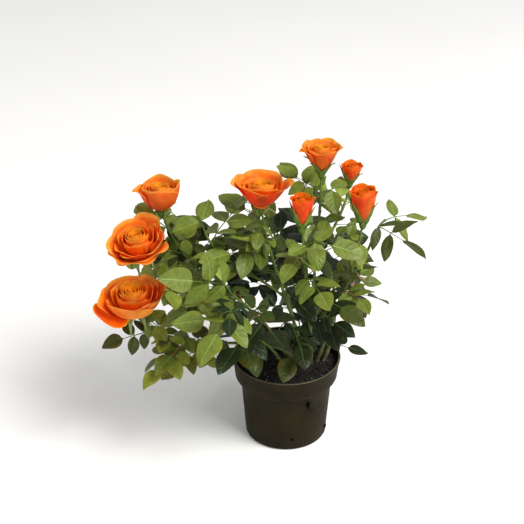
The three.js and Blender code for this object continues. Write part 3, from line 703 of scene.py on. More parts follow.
def blade(gathered, leaflet, top, back, slim, draw):
    """One toothed leaflet with a sunk midrib and quilted veins."""
    _, _, root, direction, normal, length = leaflet
    side = np.cross(normal, direction)
    rows = np.arange(BLADE_ROWS)[:, None]
    u = (rows // 2 + TOOTH_CREST * (rows % 2)) / TEETH
    out = np.abs(BLADE_COLUMNS)[None]
    hand = np.sign(BLADE_COLUMNS)[None]
    tooth = (rows % 2 == 1) & (out == 1)
    slant = VEIN_SLANT * u * (1 - u)
    along = u + slant * out
    width = HALF_WIDTH * slim * (0.8 + 0.16 * draw()) * half_width(u + slant) + 0.006
    y = hand * out * (width + TOOTH * tooth * np.minimum(1, 6 * (1 - u)))
    y = y + RIB_SIDE[None] * (0.018 - 0.012 * u)
    along = BLADE_FOOT + (1 - BLADE_FOOT) * (along + TOOTH_LEAN * tooth)
    fold = math.tan(math.radians(5 + 20 * draw()))
    droop = TIP_DROOP * (0.3 + 2.2 * draw())
    quilt = np.where(rows % 4 == 3, -0.02, np.where(rows % 4 == 0, -0.012, 0.012))
    quilt = quilt * np.sin(np.pi * out**0.8) * (1 - out**2) * np.sin(np.pi * u) ** 0.5
    phase, sway = 6.3 * draw(), 0.008 + 0.016 * draw()
    wave = sway * np.sin(9 * u + phase + 1.3 * hand) * out**2
    curl = -(0.01 + 0.06 * draw()) * out**3
    z = np.abs(y) * fold - droop * along * along + quilt + wave + curl - 0.004 * (out == 0)
    twist = (draw() - 0.5) * 0.7 * along
    y, z = y * np.cos(twist) - z * np.sin(twist), y * np.sin(twist) + z * np.cos(twist)
    y = y + (draw() - 0.5) * 0.14 * along * along
    ways = direction * along[..., None] + side * y[..., None] + normal * z[..., None]
    top_points = root + ways * length
    thick = np.where(out == 0, RIB_THICK, np.where(out == 1, EDGE_THICK, LEAF_THICK))
    back_points = top_points - normal * np.broadcast_to(thick, along.shape)[..., None]
    front = np.where(BLADE_RIB, RIB_OF[top], np.where(BLADE_VEIN, VEIN_OF[top], top))
    marks = np.concatenate([front, np.full(len(BLADE_FACES) - len(front), back)])
    points = np.concatenate([top_points.reshape(-1, 3), back_points.reshape(-1, 3)])
    gathered.add(points, BLADE_FACES, marks)


# How far the leaves of a mass lie down flat, from 0 to 1.
LEVEL = {
    "right": 0.8, "front": 0.55, "right_low": 0.5,
    "right_high": 0.4, "center": 0.35, "back_right": 0.5,
}
LEVEL_ELSEWHERE = 0.25
LEVEL_OF_SPRAY = 0.95
SLIMNESS = 0.68


def settled(leaflet, level, draw):
    """The leaflet turned about its own midrib, towards lying flat and by chance."""
    joint, hand, root, direction, normal, length = leaflet
    upright = np.array([0, 0, 1.0]) - direction * direction[2]
    size = math.sqrt(upright @ upright)
    if size > 0.2:
        normal = normal * (1 - level) + upright / size * level
    roll = (draw() - 0.5) * 0.75
    dip = (draw() - 0.5) * 0.35
    direction = unit(direction + unit(normal) * dip)
    normal = unit(normal - direction * (normal @ direction))
    normal = unit(normal * math.cos(roll) + np.cross(direction, normal) * math.sin(roll))
    return joint, hand, root, direction, normal, length


# Up to which lightness a leaf takes one of two tints, the chance of the first
# one, and its underside. From dark to light.
# The bands turn the painted light and shade of tint_of into darker and lighter tints, with a dim
# underside for the darker ones.
TINT_BANDS = [
    (-0.4, DEEP_SHADE, BLUE_SHADE, 0.6, BACK_DIM),
    (0.15, MIDDLE, BLUE_SHADE, 0.65, BACK_DIM),
    (0.6, PALE_LIT, MIDDLE, 0.5, BACK_BRIGHT),
    (math.inf, FRESH_LIT, PALE_LIT, 0.4, BACK_BRIGHT),
]
CROWN_MIDDLE = (CROWN[0], CROWN[1], 175)
CROWN_RADII = (110, 90, 80)
YOUNG_SHARE = 0.3


def ramp(value, start, end):
    """0 before the start, 1 past the end."""
    return min(1, max(0, (value - start) / (end - start)))


def bell(value, middle, width):
    """The exponent of a bell curve, without its sign."""
    return ((value - middle) / width) ** 2


def tint_of(mass, root, finer, draw):
    """The tint dealt to one leaf, and that of its underside.

    Leaves are lighter high up, in front and far out, which is painted light,
    and lighter or darker by chance, which is their own tone. The zones below
    paint shade onto some leaves and light onto others. The weights were set by
    mean colours of parts of the photo.
    """
    x, y, z = root
    place = (root - CROWN_MIDDLE) / CROWN_RADII
    outward = min(1.2, math.sqrt(place @ place))
    # Painted light: lighter high up, in front and far out. The chance part is the leaves' own tone.
    lit = 0.85 * place[2] - 0.12 * place[1] + 0.7 * (outward - 0.6) + (draw() - 0.5) * 1.8
    # Zones of painted shade (shade, far_right, hollow) and painted light (open_side, low_right,
    # low_front).
    shade = math.exp(-bell(x, -2, 74)) * ramp(z, 265, 195) * ramp(y, 100, 40)
    open_side = ramp(x, -60, -100) * ramp(z, 190, 150) * ramp(x, -165, -115)
    far_right = ramp(x, 65, 105) * ramp(z, 215, 245)
    low_right = ramp(x, 50, 75) * ramp(z, 225, 185)
    hollow = math.exp(-bell(x, 30, 30) - bell(z, 195, 35))
    low_front = ramp(z, 150, 120) * ramp(y, -10, -30)
    lit += 0.14 - 1.3 * shade + 1.05 * open_side - 0.75 * far_right
    lit += 0.7 * low_right - 0.6 * hollow + 1.5 * low_front
    if mass == "right" and finer and draw() < YOUNG_SHARE:
        return YOUNG, BACK_BRIGHT
    for limit, first, second, chance, back in TINT_BANDS:
        if lit < limit:
            return (first if draw() < chance else second), back


def thorn(gathered, p, out, run, length, mark):
    """One prickle: a flat-sided hook with a long foot."""
    side = np.cross(run, out)
    foot = [
        p + run * 0.75 * length * math.cos(a) + side * 0.28 * length * math.sin(a)
        for a in np.arange(6) * math.pi / 3
    ]
    waist = [p + out * 0.45 * length + (q - p) * 0.4 - run * 0.12 * length for q in foot]
    tip = [p + out * length - run * 0.35 * length + (q - p) * 0.03 for q in foot]
    gathered.add(np.array(foot + waist + tip), grid_faces(3, 6, closed=True), mark)


# From ring to ring of a stem, and how much and how far it swells at a leaf.
STEM_STEP = 2.2
SWELLING, SWELLING_REACH = 0.45, 1.6


def stem(gathered, name, start, end, swellings, sides, mark, seed, below=0):
    """The shoot's own stem, swollen where leaves leave it and wider in the soil."""
    length = curve_of(name)[4]
    count = max(3, round((end - start) * length / STEM_STEP))
    ts = start + (end - start) * np.arange(count + 1) / count
    path = [point_on(name, t) for t in ts]
    radii = np.array([radius_on(name, t) for t in ts])
    for at in swellings:
        radii = radii + SWELLING * np.exp(-(((ts - at) * length / SWELLING_REACH) ** 2))
    random = np.random.default_rng(seed)
    relief = 1 + 0.05 * np.sin(3 * ring_of(sides) + 1) + random.normal(0, 0.018, (len(ts), sides))
    if below:
        path.insert(0, path[0] - np.array([0, 0, below]))
        radii = np.concatenate([[radii[0] * 1.25], radii])
        radii[1] *= 1.15
        relief = np.vstack([relief[:1], relief])
    tube(gathered, path, radii[:, None] * relief, sides, mark)


def thorns_along(gathered, name, start, end, spacing, size, seed):
    draw = seeded(seed)
    length = curve_of(name)[4]
    count = int((end - start) * length / spacing)
    for i in range(count):
        t = start + (end - start) * (i + 0.3 + 0.6 * draw()) / count
        run = direction_on(name, t)
        a, b = across(run)
        turn = 2.4 * i + draw()
        out = a * math.cos(turn) + b * math.sin(turn)
        p = point_on(name, t) + out * radius_on(name, t) * 0.9
        thorn(gathered, p, out, run, size * (0.7 + 0.6 * draw()), THORN)


# ---- Foliage: leaves and twigs of every mass ----

# Radius of a leaf's axis, of a finer leaf's, and of a leaflet's stalk at its ends.
AXIS_RADIUS, FINER_RADIUS = 0.85, 0.6
LEAFLET_STALK = [0.5, 0.35]
RED_SHARE = 0.15

for mass in masses:
    leaves, finer = grow(mass)
    blades, twigs = Gathered(), Gathered()
    for name in leaves:
        seed = SHOOTS[name][SEED]
        draw = seeded(seed + 70)
        level, slim = LEVEL.get(mass, LEVEL_ELSEWHERE), 1
        if name == SLIM_SPRAY:
            level, slim = LEVEL_OF_SPRAY, SLIMNESS
        grown = [(False, *leaf) for leaf in leaves[name]] + [(True, *leaf) for leaf in finer[name]]
        for small, _, axis, leaflets in grown:
            top, back = tint_of(mass, leaflets[-1][2], small, draw)
            stalk_mark = RED_TWIG if top == YOUNG or draw() < RED_SHARE else GREEN
            start = axis[0] + unit(axis[1] - axis[0]) * 0.5
            path = rounded([start, *axis[1:]])
            thick = FINER_RADIUS if small else AXIS_RADIUS
            radii = np.linspace(thick, 0.45 * thick, len(path))
            radii[0] *= 1.5
            tube(twigs, path, radii, 6, stalk_mark)
            for leaflet in leaflets:
                _, _, root, direction, _, length = leaflet
                tube(twigs, [root, root + direction * length * 0.08], LEAFLET_STALK, 5, stalk_mark)
                blade(blades, settled(leaflet, level, draw), top, back, slim, draw)
        start, end = leafy_start(name), leafy_end(name)
        stem(twigs, name, start, end, [t for _, t, _, _ in grown], 8, GREEN, seed)
        thorns_along(twigs, name, start, end, 11, 1.8, seed + 9)
    blades.make(f"leaves_{mass}", leaf_materials, "leaves", [f"foliage_{mass}"])
    twigs.make(f"twigs_{mass}", twig_materials, "leaves", [f"foliage_{mass}"])

# ---- Canes ----

# Where a cane's nodes lie on it, how far up it is old, and how deep it is in the soil.
CANE_NODES = (0.22, 0.48, 0.74)
OLD_PART = 0.3
IN_SOIL = 5
CANE_SIDES = 12

canes = Gathered()
cane_nodes = []
for name, shoot in SHOOTS.items():
    if forks(name) and name != "left_mid":
        continue
    end = shoot[BARE] if shoot[MASS] else 1
    nodes = [end * f for f in CANE_NODES]
    middle = 0 if forks(name) else OLD_PART * end
    seed = 40 + len(cane_nodes)
    if not forks(name):
        stem(canes, name, 0, middle, nodes, CANE_SIDES, OLD, seed, below=IN_SOIL)
    stem(canes, name, middle, end, nodes, CANE_SIDES, GREEN, seed + 100)
    thorns_along(canes, name, 0.06, end, 9, 2.2, seed + 200)
    cane_nodes.append(f"bough_{name}" if forks(name) else f"cane_{name}")
canes.make("canes", cane_materials, "canes", cane_nodes)

# ---- Roses ----

# Outer petals, from the outside inwards, each with its turn, half angle,
# fullness of the foot, belly, reach, height, roll of the margin, how far the
# roll is drawn out to a point, and colour. Lengths are parts of the rose's
# radius and height. A turn of 270 degrees faces the front.
# The wide low rose takes the pale rim tint on most of its petals: painted light, which lifts the shade
# that the rose above casts on it.
WIDE_LOW = [
    (208, 48, 0.9, 1.16, 1.26, 0.5, 0.05, 0, OUTER),
    (350, 46, 0.85, 0.92, 1.02, 1.14, 0.1, 0.3, RIM),
    (262, 60, 0.88, 0.88, 0.88, 0.92, 0.06, 0.3, RIM),
    (308, 54, 0.85, 0.86, 0.86, 0.98, 0.06, 0.2, OUTER),
    (170, 50, 0.9, 0.86, 0.92, 0.8, 0.12, 0.1, RIM),
    (110, 56, 0.85, 0.8, 0.86, 0.84, 0.08, 0.1, RIM),
    (42, 56, 0.85, 0.8, 0.88, 0.88, 0.08, 0, RIM),
    (232, 56, 0.85, 0.74, 0.76, 0.84, 0.1, 0.1, RIM),
    (10, 50, 0.85, 0.74, 0.76, 0.92, 0.06, 0, RIM),
]
WIDE_MID = [
    (262, 56, 0.9, 0.84, 1.0, 0.5, 0.18, 0.1, BLUSH),
    (306, 48, 0.9, 0.84, 1.0, 0.58, 0.16, 0.3, RED),
    (218, 50, 0.9, 0.84, 1.0, 0.56, 0.16, 0.2, OUTER),
    (54, 46, 0.85, 0.86, 1.0, 1.0, 0.08, 0.1, OUTER),
    (344, 48, 0.9, 0.82, 0.94, 0.76, 0.14, 0.4, BLUSH),
    (276, 58, 0.9, 0.78, 0.86, 0.72, 0.14, 0, OUTER),
    (168, 52, 0.85, 0.82, 0.92, 0.78, 0.12, 0.1, OUTER),
    (112, 54, 0.85, 0.78, 0.84, 0.92, 0.06, 0, OUTER),
    (230, 54, 0.85, 0.76, 0.78, 0.82, 0.1, 0.1, INNER),
    (10, 50, 0.85, 0.76, 0.82, 0.9, 0.08, 0, OUTER),
]
CUP = [
    (190, 46, 0.75, 0.84, 0.84, 0.88, 0.34, 0.9, BLUSH),
    (348, 60, 0.78, 0.9, 0.84, 1.0, 0.05, 0.5, OUTER),
    (90, 76, 0.75, 0.84, 0.76, 0.96, 0.05, 0, OUTER),
    (266, 72, 0.78, 0.88, 0.8, 0.98, 0.05, 0, OUTER),
    (318, 60, 0.72, 0.76, 0.7, 0.94, 0.04, 0, OUTER),
    (220, 60, 0.72, 0.76, 0.7, 0.92, 0.04, 0, INNER),
    (100, 70, 0.72, 0.72, 0.66, 0.9, 0.04, 0, OUTER),
]
BOWL = [
    (354, 42, 0.6, 0.76, 0.92, 0.9, 0.16, 0.9, INNER),
    (170, 54, 0.6, 0.74, 0.84, 0.98, 0.14, 0.1, OUTER),
    (92, 74, 0.6, 0.74, 0.76, 0.94, 0.06, 0, OUTER),
    (312, 56, 0.6, 0.76, 0.82, 0.88, 0.12, 0.3, BLUSH),
    (226, 60, 0.6, 0.76, 0.8, 0.98, 0.1, 0.1, BLUSH),
    (276, 60, 0.55, 0.6, 0.62, 0.84, 0.04, 0.2, RED),
    (20, 62, 0.55, 0.66, 0.74, 0.86, 0.06, 0, OUTER),
    (150, 62, 0.55, 0.66, 0.72, 0.88, 0.06, 0, OUTER),
]
CONE = [
    (194, 44, 0.55, 0.72, 0.82, 0.98, 0.26, 0.8, OUTER),
    (347, 50, 0.55, 0.74, 0.82, 1.0, 0.2, 0.75, RED),
    (140, 58, 0.55, 0.76, 0.84, 1.0, 0.08, 0, RIM),
    (50, 60, 0.55, 0.74, 0.84, 1.0, 0.08, 0, RIM),
    (274, 66, 0.55, 0.7, 0.76, 1.02, 0.16, 0.7, OUTER),
    (235, 56, 0.5, 0.6, 0.66, 0.96, 0.06, 0, INNER),
    (320, 56, 0.5, 0.6, 0.66, 0.98, 0.08, 0.3, INNER),
    (100, 66, 0.5, 0.62, 0.7, 0.98, 0.06, 0, RIM),
]
BUD = [
    (90, 78, 0.8, 0.84, 0.76, 0.96, 0.1, 0.3, RED),
    (326, 72, 0.8, 0.86, 0.86, 1.03, 0.26, 0.6, RED),
    (206, 72, 0.8, 0.84, 0.84, 1.0, 0.28, 0.6, RED),
    (262, 60, 0.75, 0.7, 0.66, 0.94, 0.08, 0.5, INNER),
]
BUD_WIDE = [
    (90, 80, 0.8, 0.88, 0.84, 0.98, 0.12, 0.2, RED),
    (350, 64, 0.8, 0.9, 0.9, 0.96, 0.26, 0.75, OUTER),
    (300, 66, 0.8, 0.86, 0.8, 1.0, 0.06, 0.2, OUTER),
    (212, 72, 0.8, 0.86, 0.86, 0.98, 0.28, 0.75, RED),
    (20, 60, 0.75, 0.74, 0.76, 0.98, 0.1, 0.3, RED),
]
# The heart: petals in a spiral, with the fullness of the foot, the first belly,
# the height at the start and the end, and the count, and a whorled core.
HEARTS = {
    "left_low": (WIDE_LOW, 0.85, 0.64, 0.94, 1.04, 11),
    "left_mid": (WIDE_MID, 0.85, 0.64, 0.88, 0.98, 11),
    "left_high": (CUP, 0.65, 0.64, 0.84, 0.86, 9),
    "center": (BOWL, 0.5, 0.58, 0.78, 0.82, 11),
    "right_high": (CONE, 0.45, 0.52, 0.92, 0.95, 9),
    "right_back": (BUD_WIDE, 0.7, 0.66, 0.9, 0.92, 6),
    "front": (BUD, 0.7, 0.58, 0.9, 0.92, 6),
    "right": (BUD_WIDE, 0.7, 0.66, 0.9, 0.92, 6),
}
CORE = 0.3


def heart_petals(full, first, low, high, count):
    """The petals of the heart, in the same form as those of the tables."""
    for k in range(count):
        f = k / count
        belly = first + (CORE - first) * f**0.85
        top = low + (high - low) * min(1, 1.5 * f)
        reach, roll = belly * (0.94 - 0.14 * f), 0.05 * (1 - f) + 0.015
        yield TURN * k, 56 + 16 * f, full, belly, reach, top, roll, 0, None


def core(gathered, stand, radius, top, turns, bud, draw):
    """The rolled middle of the rose: one long petal wound inwards."""
    columns, rows = 34 * turns, 9
    s = np.linspace(0, 1, columns)[None]
    v = np.linspace(0, 1, rows)[:, None]
    angle = 2 * np.pi * turns * s + 6.3 * draw()
    phase = 6.3 * draw()
    reach = CORE * radius * (1 - s) ** 0.9 + 0.5
    reach = reach * (1 + 0.09 * np.sin(2.4 * angle + phase) * (1 - 0.5 * s))
    out = reach * (0.7 + 0.42 * np.sin(np.pi * 0.62 * v)) + 0.06 * reach * v**4
    up = top * v * (1 + 0.014 * np.sin(3.3 * angle + phase) - 0.05 * s)
    points = np.stack([out * np.cos(angle), out * np.sin(angle), up * np.ones_like(out)], -1)
    away = np.stack([np.cos(angle), np.sin(angle), 0 * angle], -1)
    thick = (0.16 * (1 - v**6) + 0.01)[..., None]
    places = np.concatenate([points + away * thick, points - away * thick]).reshape(-1, 3)
    high = np.repeat(np.arange(rows - 1), columns - 1) > rows - 3
    crest = RED if bud else HEART
    skin = np.where(high, crest, INNER)
    lining = np.where(high, crest, INNER if bud else HEART)
    gathered.add(stand(places), two_sheets(rows, columns), np.concatenate([skin, lining]))


PETAL_ROWS, PETAL_COLUMNS = 15, 19
PETAL_FACES = two_sheets(PETAL_ROWS, PETAL_COLUMNS)
# A petal that reaches further than this hangs down and has a rounder edge.
DROOPING = 1.15


def petal(gathered, stand, radius, height, form, level, bud, draw):
    """One petal as a thin shell; the level is under 2 outside and grows inwards."""
    turn, half, full, belly, reach, top, roll, point, colour = form
    v = np.linspace(0, 1, PETAL_ROWS)[:, None] ** 0.9
    u = np.linspace(-1, 1, PETAL_COLUMNS)[None]
    outer = level < 2
    reach *= 1 + (draw() - 0.5) * (0.1 if outer else 0.03)
    top *= 1 + (draw() - 0.5) * (0.06 if outer else 0.02)
    roll *= 0.7 + 0.6 * draw()
    roundness = 0.7 if reach > DROOPING else 0.2 if outer else 0.14
    w = v * (1 - roundness * np.abs(u) ** 3.2)
    # A Bezier curve from the hip to the margin, through points out and up.
    r0, r1, r2, r3 = 1.6, full * belly * radius, belly * radius, reach * radius
    z0, z1 = 0, (0.02 + 0.3 * (1 - full)) * top * height
    z2, z3 = 0.62 * top * height, top * height
    b0, b1, b2, b3 = (1 - w) ** 3, 3 * w * (1 - w) ** 2, 3 * w * w * (1 - w), w**3
    out = b0 * r0 + b1 * r1 + b2 * r2 + b3 * r3
    up = b0 * z0 + b1 * z1 + b2 * z2 + b3 * z3
    lip = np.clip((v - 0.72) / 0.28, 0, 1)
    even = 0.35 + 0.65 * np.sin(np.pi * np.clip(np.abs(u), 0, 1)) ** 2
    sides = even * (1 - point) + np.exp(-((u / 0.42) ** 2)) * point
    lean = draw() - 0.5
    out = out + roll * radius * lip**1.6 * sides * (1 + lean * u)
    up = up - roll * height * 0.6 * lip**2.6 * sides
    phase = 6.3 * draw()
    ruffle = 1.0 if outer else 0.25
    out = out + ruffle * 0.02 * radius * np.sin(7 * u + phase) * v**5
    up = up + ruffle * 0.022 * height * np.sin(5 * u + 2 * phase) * v**5
    up = up + ruffle * (draw() - 0.5) * 0.08 * height * u * v**2
    if outer:
        up = up + 0.03 * height * np.clip(1 - 2.5 * np.abs(u), 0, 1) * v**6
    wide = 0.5 + 0.5 * np.minimum(1, 2.2 * v)
    angle = np.radians(turn + (draw() - 0.5) * 8 + u * half * wide)
    out = out * (1 + 0.055 * u)
    points = np.stack([out * np.cos(angle), out * np.sin(angle), up], -1)
    normal = np.cross(np.gradient(points, axis=1), np.gradient(points, axis=0))
    normal /= np.maximum(np.linalg.norm(normal, axis=-1), 1e-9)[..., None]
    shift = normal * (0.2 * (1 - v**6) * (1 - u**8) + 0.01)[..., None]
    places = np.concatenate([points + shift, points - shift]).reshape(-1, 3)
    rows = np.repeat(np.linspace(0, 1, PETAL_ROWS - 1), PETAL_COLUMNS - 1)
    # Apart from on buds, the margin takes the pale rim tint: the petal's paler edge, and also a painted
    # highlight along it.
    if colour is not None:
        skin = np.where(rows > 0.93, RED if bud else RIM, colour)
        lining = np.where(rows > 0.9, RED if bud else RIM, INNER)
    elif bud:
        skin = np.where(rows > 0.85, RED, INNER)
        lining = np.where(rows > 0.7, INNER, HEART)
    else:
        skin = np.where(rows > 0.9, RIM, INNER if draw() < 0.6 else OUTER)
        lining = np.where(rows > 0.9, RIM, HEART if level > 3 or draw() < 0.4 else INNER)
    gathered.add(stand(places), PETAL_FACES, np.concatenate([skin, lining]))


def lathe(profile, steps):
    """Rings of points for a profile of (out, up) points."""
    return np.array([
        [(out * math.cos(t), out * math.sin(t), up) for t in ring_of(steps)] for out, up in profile
    ])


HIP_SIDES = 16


def hip_and_stalk(greens, name, stand):
    r, h = HIP_RADIUS, HIP_HEIGHT
    profile = [
        (1.3, -1.05 * h), (1.9, -0.95 * h), (0.75 * r, -0.8 * h), (r, -0.45 * h),
        (0.98 * r, -0.2 * h), (0.8 * r, 0), (1.2 * r, 0.08 * h),
    ]
    faces = grid_faces(len(profile), HIP_SIDES, closed=True, turned=True)
    greens.add(stand(lathe(profile, HIP_SIDES).reshape(-1, 3)), faces, HIP)
    stem(greens, name, leafy_end(name), 1, [], 8, STALK_GREEN, SHOOTS[name][SEED] + 3)


SEPAL_COLUMNS = np.array([-1, -0.5, 0, 0.5, 1])
SEPAL_THICK = np.array([0, 0.35, 0.5, 0.35, 0])


def sepal(greens, stand, turn, path, width):
    """A narrow pointed sepal along a path of (out, up) points."""
    path = rounded([(out, 0, up) for out, up in path])
    count = len(path)
    s = np.linspace(0, 1, count)
    half = (width * np.minimum(1, 0.6 + 2.2 * s) * (1 - s) ** 1.1 + 0.12)[:, None, None]
    runs = np.gradient(path, axis=0)
    runs /= np.linalg.norm(runs, axis=1)[:, None]
    ups = np.stack([-runs[:, 2], np.zeros(count), runs[:, 0]], 1)[:, None]
    columns = SEPAL_COLUMNS[None, :, None]
    points = path[:, None] + columns * half * np.array([0, 1, 0]) + ups * columns**2 * 0.35 * half
    backs = points - ups * SEPAL_THICK[None, :, None]
    c, sn = math.cos(math.radians(turn)), math.sin(math.radians(turn))
    spin = np.array([[c, sn, 0], [-sn, c, 0], [0, 0, 1]])
    faces = two_sheets(count, len(SEPAL_COLUMNS))
    places = np.concatenate([points, backs]).reshape(-1, 3) @ spin
    marks = np.repeat([SEPAL_INSIDE, SEPAL], len(faces) // 2)
    greens.add(stand(places), faces, marks)


# Directions of the five sepals. The first one of a wide rose lies further round.
SEPAL_TURNS = (220, 322, 30, 95, 155)
FIRST_OF_WIDE = 246


def sepal_form(name, kind, radius, height, draw):
    """A sepal's path of (out, up) points, and its width."""
    if kind == "bud":
        # Pressed to the petals, with the tip free.
        return [
            (2, -3), (0.35 * radius + 1.4, 0.08 * height), (0.54 * radius + 1.3, 0.2 * height),
            (0.72 * radius + 1, 0.38 * height), (0.85 * radius + 1, 0.52 * height),
            (1.0 * radius + 1 + 2.5 * draw(), (0.64 + 0.14 * draw()) * height),
        ], 0.56 * radius
    if name == "right_high":
        # The narrow rose, whose sepals still stand.
        return [
            (2, -3), (0.24 * radius + 1.6, 0.08 * height), (0.38 * radius + 1.6, 0.22 * height),
            (0.54 * radius + 1.6, 0.4 * height),
            (0.8 * radius + 4 * draw(), (0.42 + 0.1 * draw()) * height),
        ], 0.36 * radius
    if kind == "half":
        return [(2.5, -1), (8, -0.5), (13, -1 + 2 * draw()), (20, -4 + 6 * draw())], 2.4
    return [(2.5, -1.5), (8, -3), (13, -9), (13, -16), (16, -22 - 6 * draw())], 4.4


# How far a rose stands more upright than its solid, from 0 to 1.
UPRIGHT = {"left_low": 0.75}
UPRIGHT_ELSEWHERE = 0.45

for number, (name, (kind, radius, height, axis)) in enumerate(ROSES.items()):
    base = point_on(name, 1)
    upright = UPRIGHT.get(name, UPRIGHT_ELSEWHERE)
    axis = unit(unit(axis) * (1 - upright) + np.array([0, 0, upright]))
    a, b = across(axis)
    basis = np.array([a, b, axis])

    def stand(points, base=base, basis=basis):
        return base + points @ basis

    draw = seeded(300 + number)
    bud = kind == "bud"
    petals, greens = Gathered(), Gathered()
    outer_petals, *heart = HEARTS[name]
    for form in outer_petals:
        petal(petals, stand, radius, height, form, 0, bud, draw)
    for k, form in enumerate(heart_petals(*heart)):
        petal(petals, stand, radius, height, form, 2 + 2 * k / heart[-1], bud, draw)
    core(petals, stand, radius, heart[-2] * height, 3 if bud else 4, bud, draw)
    hip_and_stalk(greens, name, stand)
    for k, turn in enumerate(SEPAL_TURNS):
        turn = (FIRST_OF_WIDE if k == 0 and kind == "wide" else turn) + 8 * draw()
        path, width = sepal_form(name, kind, radius, height, draw)
        sepal(greens, stand, turn, path, width)
    petals.make(f"petals_{name}", petal_materials, "roses", [f"rose_{name}"])
    greens.make(f"greens_{name}", green_materials, "roses", [f"rose_{name}"])


def crumb(gathered, p, size, mark, random):
    """An uneven lump of eight faces."""
    axes = np.eye(3) * size * random.uniform(0.6, 1.3, 3)[:, None]
    spin = np.linalg.qr(random.normal(size=(3, 3)))[0]
    corners = np.vstack([axes, -axes]) @ spin * random.uniform(0.8, 1.2, (6, 1)) + p
    faces = [[0, 1, 2], [1, 3, 2], [3, 4, 2], [4, 0, 2], [1, 0, 5], [3, 1, 5], [4, 3, 5], [0, 4, 5]]
    gathered.add(corners, faces, mark)


# ---- Pot ----

POT_STEPS = 144
# Specks of dried soil on the wall: turn, height, count, spread in degrees and size.
POT_DIRT = [
    (298, 60, 34, 1.2, 1.4), (299, 55, 10, 1.6, 0.8), (303, 51, 9, 2.4, 0.7), (292, 78, 5, 1.2, 0.7),
    (341, 12, 30, 1.5, 1.3), (338, 6, 10, 2, 0.9), (278, 13, 8, 0.9, 0.9), (258, 6, 4, 2, 0.7),
    (60, 30, 8, 1.5, 1), (130, 12, 12, 1.6, 1), (200, 45, 6, 2, 0.8), (20, 62, 5, 2, 0.8),
]


def pot_wall(at, up):
    """A point on the outside of the wall."""
    if up > COLLAR_BOTTOM:
        out = COLLAR_RADIUS + (up - COLLAR_BOTTOM) * 0.13
    else:
        out = BASE_RADIUS + 0.7 + (SHOULDER_RADIUS - BASE_RADIUS - 0.7) * up / SHOULDER_BOTTOM
    return np.array([out * math.cos(at), out * math.sin(at), up])


HOLE_SIDES = 24
# How far the cutter stands out of the floor below and above.
CUT_BELOW, CUT_ABOVE = 2, 0.2


def drill(pot):
    """Cut the drainage holes through the floor of the pot."""
    cutter = Gathered()
    turns = 2 * np.pi * np.arange(HOLE_SIDES) / HOLE_SIDES
    down, up = np.array([0, 0, -CUT_BELOW]), np.array([0, 0, FLOOR + CUT_ABOVE])
    pairs = [(k, (k + 1) % HOLE_SIDES) for k in range(HOLE_SIDES)]
    n = HOLE_SIDES
    faces = [[a, b, n + b] for a, b in pairs] + [[a, n + b, n + a] for a, b in pairs]
    faces += [[2 * n, b, a] for a, b in pairs] + [[2 * n + 1, n + a, n + b] for a, b in pairs]
    for k in range(HOLES):
        at = 2 * math.pi * k / HOLES
        middle = np.array([HOLE_CIRCLE * math.cos(at), HOLE_CIRCLE * math.sin(at), 0])
        ring = middle + HOLE_RADIUS * np.stack([np.cos(turns), np.sin(turns), 0 * turns], -1)
        cutter.add(np.vstack([ring + down, ring + up, middle + down, middle + up]), faces, 0)
    tool = bpy.data.objects.new("cutter", cutter.mesh("cutter"))
    bpy.context.scene.collection.objects.link(tool)
    modifier = pot.modifiers.new("holes", "BOOLEAN")
    modifier.operation = "DIFFERENCE"
    modifier.solver = "EXACT"
    modifier.object = tool
    bpy.context.view_layer.update()
    shown = pot.evaluated_get(bpy.context.evaluated_depsgraph_get())
    drilled = bpy.data.meshes.new_from_object(shown)
    pot.modifiers.clear()
    pot.data = drilled
    bpy.data.objects.remove(tool)


def smooth_corners(profile, cut=0.35):
    """A profile with a small radius on each inner corner."""
    out = [profile[0]]
    for before, here, after in zip(profile, profile[1:], profile[2:]):
        here = np.array(here, float)
        for other in (before, after):
            gap = np.array(other, float) - here
            out.append(tuple(here + gap * min(0.3, cut / math.hypot(*gap))))
    out.append(profile[-1])
    return out


pot_profile = [
    (0.05, 0), (20, 0), (40, 0), (BASE_RADIUS - BASE_CHAMFER, 0), (BASE_RADIUS, BASE_CHAMFER),
    (46.7, 22), (48.5, 45), (SHOULDER_RADIUS, SHOULDER_BOTTOM), (COLLAR_RADIUS, COLLAR_BOTTOM),
    (57.8, 84), (RIM_RADIUS - LIP_DEPTH, POT_HEIGHT - LIP_HEIGHT),
    (RIM_RADIUS, POT_HEIGHT - LIP_HEIGHT + 0.6), (RIM_RADIUS, POT_HEIGHT - 0.6),
    (RIM_RADIUS - 0.6, POT_HEIGHT), (RIM_RADIUS - LIP_DEPTH - WALL, POT_HEIGHT),
    (COLLAR_RADIUS - WALL, COLLAR_BOTTOM + 0.8), (SHOULDER_RADIUS - WALL, SHOULDER_BOTTOM + 0.8),
    (BASE_RADIUS - WALL, FLOOR), (20, FLOOR), (0.05, FLOOR),
]
rings = lathe(smooth_corners(pot_profile), POT_STEPS)
# The top edge of the lip takes the lighter pot_rim finish.
heights = np.minimum(rings[:-1, 0, 2], rings[1:, 0, 2])
pot_marks = [np.repeat((heights > POT_HEIGHT - 0.75).astype(int), POT_STEPS)]
pot_faces = [grid_faces(len(rings), POT_STEPS, closed=True, turned=True)]
for first, turned in ((0, True), ((len(rings) - 1) * POT_STEPS, False)):
    fan = np.array([[first, first + k, first + k + 1] for k in range(1, POT_STEPS - 1)])
    pot_faces.append(four_wide(fan[:, ::-1] if turned else fan))
    pot_marks.append(np.zeros(len(fan), int))
pot_mesh = Gathered()
pot_mesh.add(rings, np.vstack(pot_faces), np.concatenate(pot_marks))

